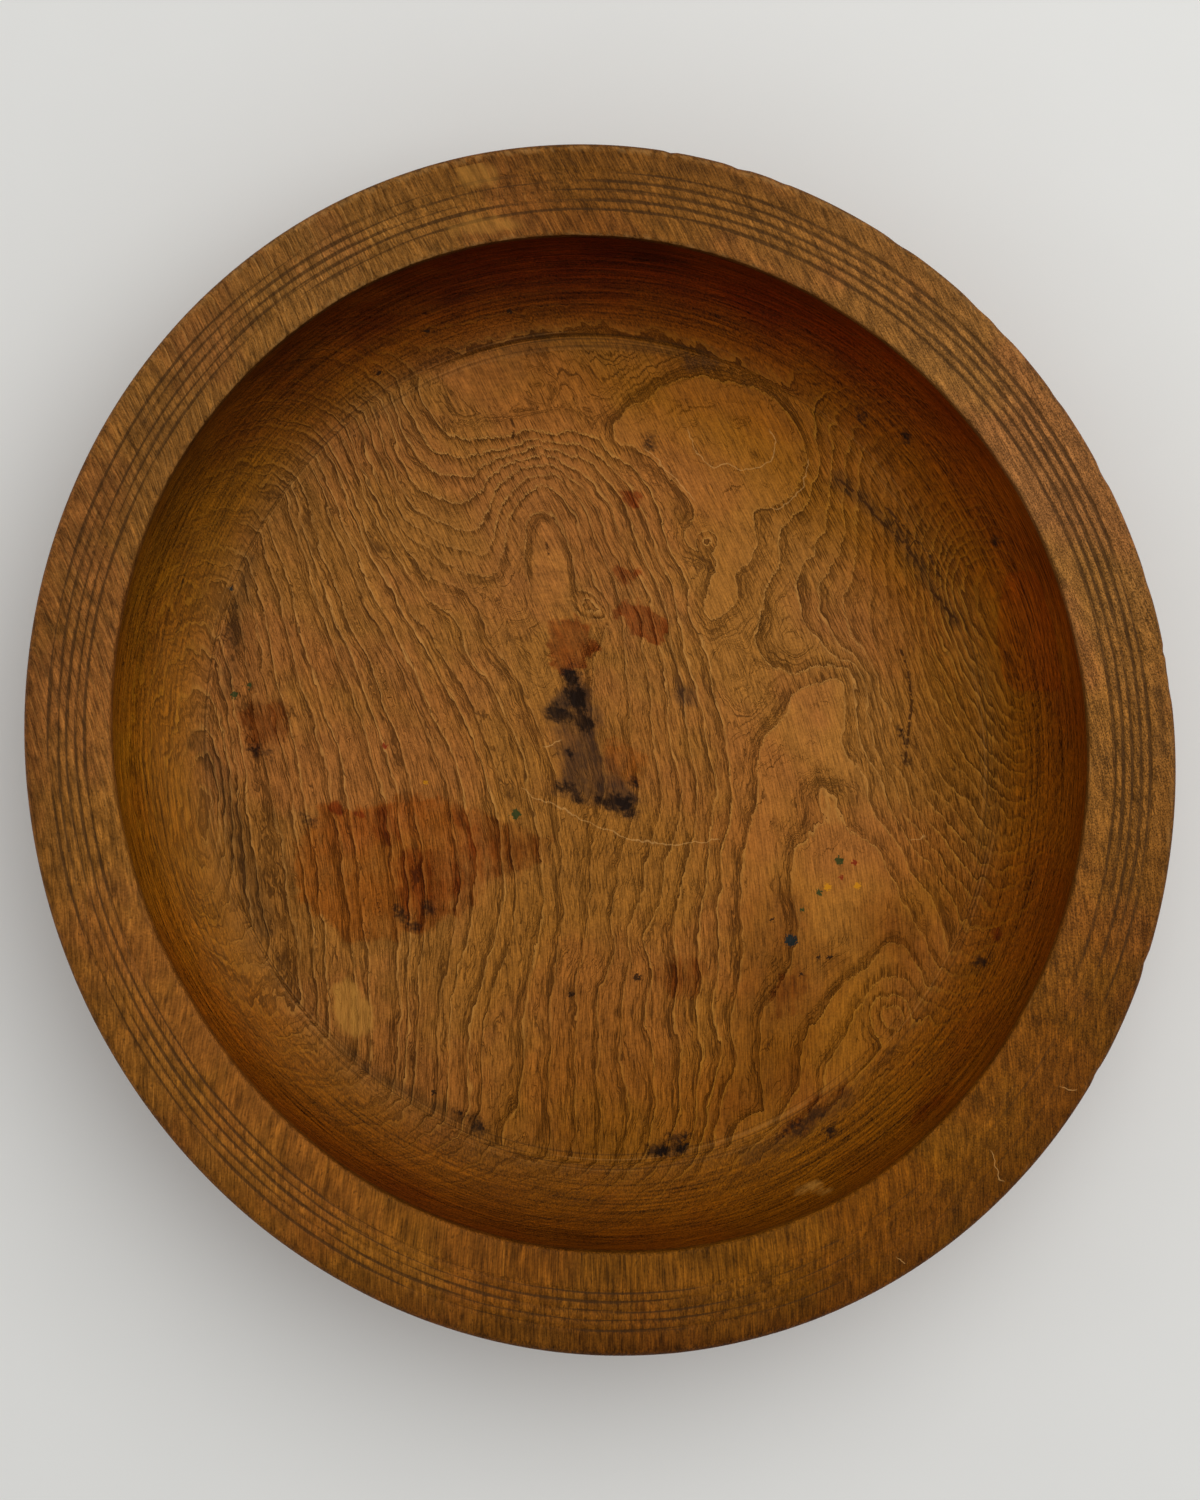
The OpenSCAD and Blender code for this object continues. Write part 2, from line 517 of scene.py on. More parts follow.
STAINS: dict[StainKind, tuple[Stain, ...]] = {
    StainKind.RED: (
        Stain(((545, 650), (552, 622), (570, 612), (590, 625), (598, 645), (585, 668), (560, 675))),
        Stain(((610, 610), (625, 600), (648, 603), (665, 620), (670, 640), (655, 643), (635, 632))),
        Stain(((618, 490), (632, 486), (642, 495), (636, 506), (622, 503))),
        Stain(((614, 568), (628, 563), (640, 572), (632, 584), (618, 580))),
        Stain(((334, 806), (340, 808)), width=7), Stain(((355, 812), (362, 815)), width=9),
        Stain(((986, 930), (998, 929), (1004, 937), (994, 942), (987, 940))),
    ),
    StainKind.BROWN: (
        Stain(((240, 712), (252, 700), (275, 698), (292, 712), (290, 735), (272, 750), (255, 756),
            (244, 740))),
        Stain(((446, 797), (483, 813), (515, 821), (552, 840), (551, 862), (515, 872), (487, 880),
            (475, 905), (456, 921), (446, 900), (452, 868), (466, 848), (455, 826))),
        Stain(((394, 856), (412, 846), (448, 858), (454, 921), (434, 929), (410, 929), (398, 905))),
        Stain(((372, 806), (392, 800), (402, 838), (392, 850), (378, 840))),
        Stain(((650, 968), (690, 955), (710, 965), (700, 1000), (670, 1000))),
        Stain(((770, 985), (800, 960), (812, 975), (800, 1010), (770, 1025))),
        Stain(((765, 1140), (800, 1105), (845, 1078), (850, 1092), (822, 1122), (785, 1145))),
        Stain(((906, 1118), (930, 1102), (950, 1082), (960, 1088), (940, 1112), (915, 1130))),
    ),
    StainKind.WASH: (
        Stain(((296, 840), (324, 803), (353, 807), (381, 799), (410, 795), (450, 797), (478, 840),
            (458, 900), (434, 929), (381, 937), (345, 943), (328, 921), (312, 909), (296, 893))),
        Stain(((598, 742), (626, 740), (646, 758), (640, 782), (622, 786), (606, 770))),
    ),
    StainKind.DULL: (
        Stain(((735, 905), (790, 880), (812, 930), (850, 962), (822, 1020), (800, 1090), (765, 1115),
            (715, 1125), (728, 1050))),
        Stain(((860, 900), (905, 905), (930, 950), (900, 970), (860, 950), (850, 920))),
    ),
    StainKind.AMBER: (
        Stain(((1006, 572), (1035, 570), (1052, 620), (1064, 690), (1020, 692), (1003, 680), (997, 640),
            (999, 600))),
    ),
    StainKind.HAZE: (
        Stain(((546, 704), (558, 692), (566, 672), (580, 672), (592, 698), (603, 716), (598, 736),
            (604, 752), (622, 764), (630, 784), (640, 800), (634, 816), (606, 808), (584, 804), (556, 792),
            (562, 776), (558, 750), (554, 728))),
        Stain(((676, 682), (690, 688), (692, 704), (682, 706))), Stain(((692, 360), (712, 362)), width=9),
    ),
    StainKind.BLACK: (
        Stain(((571, 673), (573, 690), (577, 704), (579, 722)), width=15),
        Stain(((556, 712), (572, 714), (588, 722)), width=16),
        Stain(((592, 794), (606, 797), (618, 793), (630, 797), (638, 808), (630, 813), (612, 809),
            (598, 804))),
        Stain(((560, 786), (574, 789), (580, 801)), width=7), Stain(((570, 751), (570.5, 752)), width=4),
        Stain(((631, 777), (633, 783)), width=7), Stain(((649, 438), (652, 444)), width=7),
        Stain(((255, 748), (268, 752)), width=9), Stain(((652, 1150), (668, 1149), (686, 1147)), width=10),
        Stain(((672, 1140), (684, 1136)), width=9), Stain(((780, 1138), (800, 1124), (820, 1111)), width=9),
        Stain(((826, 1126), (830, 1129)), width=9), Stain(((460, 1112), (474, 1120), (484, 1130)), width=7),
        Stain(((303, 812), (312, 823)), width=5), Stain(((902, 728), (907, 762)), width=3),
        Stain(((859, 417), (861, 419)), width=6), Stain(((907, 437), (908, 440)), width=4),
        Stain(((993, 540), (996, 543)), width=5), Stain(((957, 766), (962, 782)), width=3),
        Stain(((978, 959), (982, 962)), width=7), Stain(((397, 908), (404, 918), (412, 926)), width=7),
        Stain(((427, 903), (429, 911)), width=7),
    ),
    StainKind.PALE: (
        Stain(((330, 985), (350, 975), (372, 1000), (375, 1030), (355, 1040), (335, 1025))),
        Stain(((797, 1191), (812, 1186), (828, 1192)), width=8),
        Stain(((455, 168), (475, 158), (498, 162), (500, 182), (478, 190), (460, 184))),
        Stain(((440, 222), (480, 214), (520, 218), (528, 230), (490, 236), (450, 236))),
    ),
    StainKind.GRIME: (
        Stain(((340, 1045), (362, 1065), (395, 1085), (440, 1108), (482, 1134)), width=11),
        Stain(((745, 1158), (800, 1135), (850, 1095)), width=16),
        Stain(((228, 790), (240, 840), (256, 890), (268, 930)), width=22),
        Stain(((250, 560), (236, 620), (228, 690)), width=14),
        Stain(((505, 352), (560, 345), (640, 345), (700, 352)), width=8),
        Stain(((529, 336), (560, 340), (589, 347)), width=7), Stain(((744, 382), (750, 386)), width=8),
        Stain(((838, 478), (870, 505), (905, 545), (935, 590), (955, 620)), width=14),
        Stain(((1160, 690), (1164, 720), (1162, 750)), width=16),
        Stain(((196, 742), (214, 760), (226, 790), (236, 826)), width=20),
    ),
    StainKind.SMOOTH: (
        Stain(((541, 520), (533, 548), (532, 575), (530, 605), (545, 640), (560, 668), (585, 640),
            (575, 610), (569, 585), (564, 552), (555, 527))),
        Stain(((436, 371), (478, 354), (519, 348), (530, 376), (516, 407), (470, 404))),
    ),
}


# Fine lines through the surface, by pixels along them: dark cracks and pale scratches
CRACKS: tuple[PixelPath, ...] = (
    ((511, 417), (514, 428), (512, 441)),
    ((546, 541), (548, 549), (549, 556)),
    ((838, 478), (862, 498), (880, 520), (902, 540), (918, 562)),
    ((885, 505), (905, 528), (928, 552), (942, 580)),
    ((898, 640), (908, 672), (912, 700), (905, 765)),
    ((930, 588), (944, 605), (958, 622)),
)
SCRATCHES: tuple[PixelPath, ...] = (
    ((520, 790), (555, 805), (620, 835), (665, 845), (720, 840)),
    ((543, 746), (562, 740)),
    ((689, 428), (692, 447), (703, 458), (714, 470), (728, 464), (740, 472), (762, 467), (775, 453),
     (776, 439), (771, 428)),
    ((646, 446), (664, 468), (681, 484), (696, 500)),
    ((807, 458), (808, 478), (788, 505), (771, 509)),
    ((910, 839), (926, 835)),
    ((1108, 1030), (1150, 1012)),
    ((1060, 1085), (1098, 1094)),
    ((990, 1150), (1002, 1182)),
    ((898, 1255), (914, 1272)),
)


class FleckKind(Enum):
    """The paint that fell on the wood, or a worm's pin hole through it."""

    TEAL = (16, 38, 40)
    GREEN = (40, 58, 26)
    RED = (126, 38, 12)
    YELLOW = (196, 128, 18)
    DARK = (34, 20, 10)


@dataclass(frozen=True)
class Fleck:
    """A fleck: the pixel at its middle and its size across, in pixels."""

    pixel: Pixel
    size: float


FLECKS: dict[FleckKind, tuple[Fleck, ...]] = {
    FleckKind.TEAL: (
        Fleck((791, 939), 12), Fleck((230, 588), 5),
    ),
    FleckKind.GREEN: (
        Fleck((517, 813), 9), Fleck((840, 861), 8), Fleck((819, 892), 6), Fleck((803, 909), 5),
        Fleck((234, 694), 7), Fleck((250, 685), 5),
    ),
    FleckKind.RED: (
        Fleck((855, 862), 6), Fleck((842, 877), 5), Fleck((385, 745), 5),
    ),
    FleckKind.YELLOW: (
        Fleck((827, 887), 7), Fleck((858, 885), 6), Fleck((425, 780), 4),
    ),
    FleckKind.DARK: (
        Fleck((773, 919), 4), Fleck((828, 956), 5), Fleck((820, 957), 4), Fleck((801, 974), 4),
        Fleck((571, 995), 6), Fleck((638, 977), 7), Fleck((433, 1092), 4), Fleck((123, 663), 5),
        Fleck((149, 861), 5), Fleck((511, 309), 5), Fleck((427, 331), 5), Fleck((312, 383), 6),
        Fleck((379, 372), 5), Fleck((215, 1012), 6),
    ),
}


class Wire:
    """A value on its way through a shader: one output socket, with arithmetic that adds Math nodes."""

    def __init__(self, bench: "NodeBench", socket: bpy.types.NodeSocket) -> None:
        """Keep the socket and the bench that it is on.

        Args:
            bench: The material's bench.
            socket: The output socket.
        """
        self.bench = bench
        self.socket = socket

    def __add__(self, other: "Number") -> "Wire":
        """Add."""
        return self.bench.maths("ADD", self, other)

    def __radd__(self, other: "Number") -> "Wire":
        """Add to a number."""
        return self.bench.maths("ADD", other, self)

    def __sub__(self, other: "Number") -> "Wire":
        """Subtract."""
        return self.bench.maths("SUBTRACT", self, other)

    def __rsub__(self, other: "Number") -> "Wire":
        """Subtract from a number."""
        return self.bench.maths("SUBTRACT", other, self)

    def __mul__(self, other: "Number") -> "Wire":
        """Multiply."""
        return self.bench.maths("MULTIPLY", self, other)

    def __rmul__(self, other: "Number") -> "Wire":
        """Multiply a number."""
        return self.bench.maths("MULTIPLY", other, self)

    def __truediv__(self, other: "Number") -> "Wire":
        """Divide."""
        return self.bench.maths("DIVIDE", self, other)

    def __rtruediv__(self, other: "Number") -> "Wire":
        """Divide a number."""
        return self.bench.maths("DIVIDE", other, self)

    def __abs__(self) -> "Wire":
        """Drop the sign."""
        return self.bench.maths("ABSOLUTE", self)

    def part(self) -> "Wire":
        """Keep the part after the point."""
        return self.bench.maths("FRACT", self)

    def whole(self) -> "Wire":
        """Keep the whole number below."""
        return self.bench.maths("FLOOR", self)

    def at_least(self, other: "Number") -> "Wire":
        """Take the larger of two values."""
        return self.bench.maths("MAXIMUM", self, other)

    def at_most(self, other: "Number") -> "Wire":
        """Take the smaller of two values."""
        return self.bench.maths("MINIMUM", self, other)

    def ease(self, none: "Number", full: "Number") -> "Wire":
        """Go smoothly from 0 to 1.

        Args:
            none: The value at which the result is 0.
            full: The value at which the result is 1.

        Returns:
            The eased value.
        """
        return self.bench.add(
            "ShaderNodeMapRange",
            {"interpolation_type": "SMOOTHSTEP"},
            {"Value": self, "From Min": none, "From Max": full},
        )


Number = Wire | float


class Blend(Enum):
    """How one colour lies on another: over it, or as a tint of it."""

    LAY = "MIX"
    TINT = "MULTIPLY"


class NodeBench:
    """The node tree of one material, and the ways of putting nodes on it."""

    finer_share = 0.55

    # Sockets of the Mix node when it mixes colours
    mix_share = 0
    mix_under = 6
    mix_over = 7
    mix_result = 2

    def __init__(self, name: str) -> None:
        """Start a material with an empty tree.

        Args:
            name: The material's name.
        """
        self.material = bpy.data.materials.new(name)
        self.material.use_nodes = True
        self.tree = self.material.node_tree
        self.tree.nodes.clear()

    def add(self, kind: str, settings: dict, sockets: dict, out: int | str = 0) -> Wire | None:
        """Put one node on the bench.

        Args:
            kind: The node's type.
            settings: Settings, made before any socket is fed.
            sockets: Values or wires for its inputs, by name or number.
            out: The output to carry on from.

        Returns:
            The wire from that output, or nothing from a node that has none.
        """
        node = self.tree.nodes.new(kind)
        for name, value in settings.items():
            setattr(node, name, value)
        for key, value in sockets.items():
            if isinstance(value, Wire):
                self.tree.links.new(value.socket, node.inputs[key])
            else:
                node.inputs[key].default_value = value
        return Wire(self, node.outputs[out]) if len(node.outputs) else None

    def maths(self, operation: str, *values: Number) -> Wire:
        """Do one sum on one or two values."""
        return self.add("ShaderNodeMath", {"operation": operation}, dict(enumerate(values)))

    def mark(self, name: str) -> Wire:
        """Read a number that the mesh carries."""
        return self.add("ShaderNodeAttribute", {"attribute_name": name}, {}, "Fac")

    def vector(self, *parts: Number) -> Wire:
        """Join three values to a vector."""
        return self.add("ShaderNodeCombineXYZ", {}, dict(enumerate(parts)))

    def vector_maths(self, operation: str, sockets: dict, out: str = "Vector") -> Wire:
        """Do one sum on vectors."""
        return self.add("ShaderNodeVectorMath", {"operation": operation}, sockets, out)

    def noise(self, where: Wire, scale: float = 1.0, detail: float = 2.0, out: str = "Fac") -> Wire:
        """Read smooth noise.

        Args:
            where: The place to read it at.
            scale: Lumps per unit.
            detail: How many finer layers are added.
            out: The output to carry on from.

        Returns:
            The noise, about 0.5.
        """
        sockets = {"Vector": where, "Scale": scale, "Detail": detail, "Roughness": self.finer_share}
        return self.add("ShaderNodeTexNoise", {}, sockets, out)

    def uneven(self, where: Wire, scale: float = 1.0, detail: float = 2.0) -> Wire:
        """Read smooth noise about 0."""
        return self.noise(where, scale, detail) - 0.5

    def mix(self, share: Number, under: Wire | Colour, over: Wire | Colour, blend: Blend = Blend.LAY) -> Wire:
        """Lay one colour on another.

        Args:
            share: How much of the upper colour shows.
            under: The lower colour.
            over: The upper colour.
            blend: How it lies on the lower one.

        Returns:
            The mixed colour.
        """
        lower, upper = (c if isinstance(c, Wire) else (*c, 1.0) for c in (under, over))
        settings = {"data_type": "RGBA", "blend_type": blend.value, "clamp_factor": True}
        sockets = {self.mix_share: share, self.mix_under: lower, self.mix_over: upper}
        return self.add("ShaderNodeMix", settings, sockets, self.mix_result)

    def tint(self, share: Number, under: Wire | Colour, over: Wire | Colour) -> Wire:
        """Tint one colour with another."""
        return self.mix(share, under, over, Blend.TINT)

    def brighten(self, under: Wire | Colour, light: Wire) -> Wire:
        """Make a colour lighter or darker."""
        return self.tint(1.0, under, self.vector(light, light, light))

    def coat(self, **sockets: Wire | float) -> bpy.types.Material:
        """Close the material with its shader.

        Args:
            sockets: Values or wires of the shader, by socket with _ for a space.

        Returns:
            The material.
        """
        named = {name.replace("_", " "): value for name, value in sockets.items()}
        shader = self.add("ShaderNodeBsdfPrincipled", {}, named)
        self.add("ShaderNodeOutputMaterial", {}, {"Surface": shader})
        return self.material


@dataclass(frozen=True)
class Clouds:
    """Noise alike both ways: how many lumps to a millimetre, and its finer layers."""

    scale: float
    detail: float = 2.0


@dataclass(frozen=True)
class Lumps:
    """Noise drawn out one way: width and length of its lumps in millimetres, and its finer layers."""

    wide: float
    long: float
    detail: float = 2.0


class WoodBench(NodeBench):
    """A bench that knows where a point lies in the wood, in millimetres across and along the fibres."""

    def __init__(self, name: str) -> None:
        """Start the material.

        Args:
            name: The material's name.
        """
        super().__init__(name)
        self.place = self.add("ShaderNodeNewGeometry", {}, {}, "Position")
        self.height = self.add("ShaderNodeSeparateXYZ", {}, {0: self.place}, "Z") / MM
        self.across = self.mark("across")
        self.along = self.mark("along")
        self.lumps = self.vector(self.across, self.along, self.height)
        self.walk = self.mark("walk")
        self.wall = self.mark("wall")
        self.rim = self.mark("rim")
        self.outer = self.mark("outer")

    def grain(self, lumps: Lumps) -> Wire:
        """Read noise about 0, drawn out along the fibres."""
        where = self.vector(self.across / lumps.wide, self.along / lumps.long, self.height / lumps.wide)
        return self.uneven(where, detail=lumps.detail)

    def turning(self, lumps: Lumps) -> Wire:
        """Read noise drawn out round the bowl, the way the turner's tool went.

        Args:
            lumps: The noise, with its length round the bowl.

        Returns:
            The noise, about 0.
        """
        level = self.vector_maths("SCALE", {0: self.place, "Scale": 1 / (lumps.long * MM)})
        right = self.add("ShaderNodeSeparateXYZ", {}, {0: level}, "X")
        away = self.add("ShaderNodeSeparateXYZ", {}, {0: level}, "Y")
        return self.uneven(self.vector(right, away, self.walk / lumps.wide), detail=lumps.detail)

    def clouds(self, clouds: Clouds) -> Wire:
        """Read noise about 0, alike along and across the fibres."""
        return self.uneven(self.lumps, clouds.scale, clouds.detail)

    def chance(self, number: Wire) -> Wire:
        """Draw one lot from 0 to 1 for each whole number."""
        return self.add("ShaderNodeTexWhiteNoise", {"noise_dimensions": "1D"}, {"W": number}, "Value")


@dataclass(frozen=True)
class Grain:
    """What the growth gives at a point, each value about 0 or from 0 to 1, but for the ring's number."""

    ring: Wire
    early: Wire
    edge: Wire
    ridge_and_highlight: Wire
    thread: Wire
    pores: Wire
    streak: Wire
    fibre: Wire
    turned: Wire
    own: Wire
    clear: Wire
    ripple: Wire


@dataclass(frozen=True)
class GrowthFigure:
    """How the growth shows: lines between rings, the soft early wood after each, its pores and the fibres."""

    # What draws the lines out of true, and how steep the rings may lie for it
    teeth: float = 4.0
    tooth_lumps: Lumps = Lumps(0.6, 16, 3)
    bends: float = 7.0
    bend_lumps: Lumps = Lumps(9, 22)
    kinks: float = 2.2
    kink_lumps: Lumps = Lumps(2.6, 7)
    least_slope: float = 0.02
    most_slope: float = 0.25
    rim_steadiness: float = 0.7

    # Streaks and fibres, tool marks, and ripples in place of lines where the wood is smooth
    streak_lumps: Lumps = Lumps(3.2, 46, 3)
    fibre_lumps: Lumps = Lumps(0.7, 9)
    tool_lumps: Lumps = Lumps(1.1, 50, 3)
    ripple_lumps: Lumps = Lumps(10, 2.4, 1)
    smooth_edge: Band = (-2.5, 2.0)
    smooth_lines: float = 0.2

    # Islands of late wood, clear in patches and away from their shore
    island_rings: Band = (-7.97, -8.03)
    patches: Clouds = Clouds(0.045, 3)
    patch_edge: Band = (-0.1, 0.06)
    clear_everywhere: float = 0.3
    shore_width: Band = (8.0, 4.0)
    shore_loss: float = 0.75
    restless_clear: float = 0.5

    # Lines: how bold they are by surface, their gaps, and their widths in millimetres
    rim_loss: float = 0.96
    outside_gain: float = 0.4
    wall_loss: float = 0.45
    gap_lumps: Lumps = Lumps(4.5, 18)
    gap_by_ring: float = 0.12
    gap_edge: Band = (-0.05, 0.12)
    faintest_line: float = 0.3
    line_by_ring: Band = (0.2, 0.8)
    fine_line_loss: float = 0.3
    island_line_loss: float = 0.2
    edge_width: Band = (1.3, 0.2)
    inner_rings: Band = (-7.0, -7.7)
    inner_loss: float = 0.72
    # The ridge of late wood before each line: raised in the bump, and lightened as a painted highlight
    crest_width: Band = (1.3, 0.3)
    crest_in_gaps: float = 0.5
    crest_gain: float = 0.3

    # Early wood: how many millimetres it shows for, and its share of the ring
    soft_width: Band = (11.0, 3.0)
    early_share: float = 0.32
    early_by_ring: float = 0.45
    early_where_fine: float = 0.6
    early_full: float = 0.05
    early_streaks: float = 0.6
    early_rim_loss: float = 0.8
    early_wall_loss: float = 0.6

    # Threads of pores along the lines, and short pores where the fibres cross the lines
    crossing: Band = (0.02, 0.08)
    thread_rows: float = 2.4
    thread_length: float = 14
    thread_lots: float = 90
    thread_detail: float = 1
    thread_early: float = 0.125
    thread_clear: float = 0.13
    thread_fine: float = 0.03
    thread_keen: float = 0.03
    thread_thinning: float = 0.03
    thread_edge: Band = (0.02, 0.21)
    thread_crossed_loss: float = 0.85
    thread_fine_loss: float = 0.3
    pore_lumps: Lumps = Lumps(0.62, 7, 1)
    pore_early: float = 0.12
    pore_clear: float = 0.12
    pore_thinning: float = 0.02
    pore_edge: Band = (0.03, 0.23)
    pores_uncrossed: float = 0.5

    def grain(self, bench: WoodBench) -> Grain:
        """Find the lines, the early wood, the pores and the fibres.

        Args:
            bench: The material's bench.

        Returns:
            The grain.
        """
        slope = bench.mark("slope").at_least(self.least_slope)
        drift = bench.mark("drift")
        sway = bench.grain(self.bend_lumps) * self.bends + bench.grain(self.kink_lumps) * self.kinks
        ring = bench.mark("figure") + drift * bench.grain(self.tooth_lumps) * self.teeth
        ring = ring + slope.at_most(self.most_slope) * sway * (1 - bench.rim * self.rim_steadiness)
        share = ring.part()
        own = bench.chance(ring.whole())
        past = share / slope
        before = (1 - share) / slope
        smooth = bench.mark(StainKind.SMOOTH.value).ease(*self.smooth_edge)
        lined = self.smooth_lines + smooth * (1 - self.smooth_lines)
        streak = bench.grain(self.streak_lumps)
        fine = bench.mark("fine")
        calm = bench.mark("calm")
        keen = bench.mark("keen")

        island = ring.ease(*self.island_rings) * (1 - bench.wall)
        patch = bench.clouds(self.patches).ease(*self.patch_edge)
        clear = island * (self.clear_everywhere + patch * (1 - self.clear_everywhere))
        clear = clear * (1 - past.ease(*self.shore_width) * self.shore_loss * calm)
        clear = clear * (self.restless_clear + calm * (1 - self.restless_clear))

        plain = past.ease(*self.soft_width).at_least(fine) * lined
        reach = self.early_share + own * self.early_by_ring + fine * self.early_where_fine
        early = (share + streak * self.early_streaks).ease(reach, self.early_full) * plain
        early = early * (1 - bench.rim * self.early_rim_loss + bench.outer * self.outside_gain)
        early = early * (1 - bench.wall * self.early_wall_loss)

        figured = 1 - bench.rim * self.rim_loss + bench.outer * self.outside_gain + bench.mark("figured")
        bold = (1 - bench.wall * self.wall_loss) * figured * lined
        gaps = (bench.grain(self.gap_lumps) + own * self.gap_by_ring).ease(*self.gap_edge)
        mark = self.faintest_line + own.ease(*self.line_by_ring) * (1 - self.faintest_line)
        mark = mark - fine * self.fine_line_loss
        mark = mark.at_least(island * (calm - self.island_line_loss)).at_least(keen)
        edge = past.ease(*self.edge_width) * gaps * bold * mark
        edge = edge * (1 - ring.ease(*self.inner_rings) * self.inner_loss)
        # Ridge before each line: real relief, and a painted highlight in the colour
        ridge_and_highlight = before.ease(*self.crest_width) * (self.crest_in_gaps + gaps * (1 - self.crest_in_gaps))
        ridge_and_highlight = ridge_and_highlight * bold * (mark + self.crest_gain)

        crossed = abs(drift).ease(*self.crossing)
        rows = bench.vector(past * self.thread_rows, bench.along / self.thread_length, own * self.thread_lots)
        rows = bench.uneven(rows, detail=self.thread_detail) + early * self.thread_early
        rows = rows - clear * self.thread_clear - fine * self.thread_fine + keen * self.thread_keen
        thread = (rows - self.thread_thinning).ease(*self.thread_edge) * bold
        thread = thread * (1 - crossed * self.thread_crossed_loss) * (1 - fine * self.thread_fine_loss)
        hatch = bench.grain(self.pore_lumps) + early * self.pore_early - clear * self.pore_clear
        pores = (hatch - self.pore_thinning).ease(*self.pore_edge) * bold
        pores = pores * (self.pores_uncrossed + crossed * (1 - self.pores_uncrossed))

        fibre = bench.grain(self.fibre_lumps)
        turned = bench.turning(self.tool_lumps)
        ripple = bench.grain(self.ripple_lumps) * (1 - lined)
        return Grain(ring, early, edge, ridge_and_highlight, thread, pores, streak, fibre, turned, own, clear, ripple)


@dataclass(frozen=True)
class WoodColours:
    """The colours of the wood and its dirt, and of the painted highlights on it, which the layers of the
    finish share.
    """

    golden: Colour = tone(155, 101, 41)
    ruddy: Colour = tone(153, 95, 42)
    early: Colour = tone(126, 77, 25)
    # Pale ridge beside each growth line: partly the wood's pale edge, partly a painted highlight
    ridge_and_highlight: Colour = tone(190, 133, 66)
    line: Colour = tone(66, 37, 10)
    pore: Colour = tone(62, 34, 9)
    grime: Colour = tone(56, 36, 16)
    # Bare wood of scratches and scores, also used for the painted highlight on the lip and the outer edge
    bared_and_highlight: Colour = tone(206, 152, 86)


@dataclass(frozen=True)
class BareWood(WoodColours):
    """The wood by its growth, with a painted highlight on the ridge beside each line: how each part of the
    grain lightens it, and how much of it shows.
    """

    tones: Clouds = Clouds(0.016, 4)
    ruddy_edge: Band = (-0.1, 0.1)
    speckles: Clouds = Clouds(1.0)
    early_shows: float = 0.13
    streak_light: float = 0.5
    fibre_light: float = 1.9
    wall_fibre_light: float = 0.6
    ripple_light: float = 0.9
    speckle_light: float = 0.95
    wall_tool_light: float = 3.0
    outside_tool_light: float = 1.6
    ring_light: float = 0.12
    tone_light: float = 0.3
    clear_light: float = 0.14
    ridge_highlight_shows: float = 0.58
    thread_shows: float = 0.7
    edge_shows: float = 0.55
    pores_show: float = 0.68

    def colour(self, bench: WoodBench, grain: Grain) -> Wire:
        """Colour the wood.

        Args:
            bench: The material's bench.
            grain: The grain.

        Returns:
            The colour.
        """
        tones = bench.clouds(self.tones)
        wood = bench.mix(tones.ease(*self.ruddy_edge), self.golden, self.ruddy)
        wood = bench.mix(grain.early * self.early_shows, wood, self.early)
        light = 1.0 + grain.streak * self.streak_light + grain.ripple * self.ripple_light
        light = light + grain.fibre * (self.fibre_light + bench.wall * self.wall_fibre_light)
        light = light + bench.clouds(self.speckles) * self.speckle_light
        tooled = bench.wall * self.wall_tool_light + bench.outer * self.outside_tool_light
        light = light + grain.turned * tooled
        light = light + (grain.own - 0.5) * self.ring_light * (1 - bench.wall)
        light = light + tones * self.tone_light + grain.clear * self.clear_light
        wood = bench.brighten(wood, light)
        # Painted highlight on the ridge beside each line, partly the wood's pale edge
        wood = bench.mix(grain.ridge_and_highlight * self.ridge_highlight_shows, wood, self.ridge_and_highlight)
        wood = bench.mix(grain.thread * self.thread_shows, wood, self.line)
        wood = bench.mix(grain.edge * self.edge_shows, wood, self.line)
        return bench.mix(grain.pores * self.pores_show, wood, self.pore)


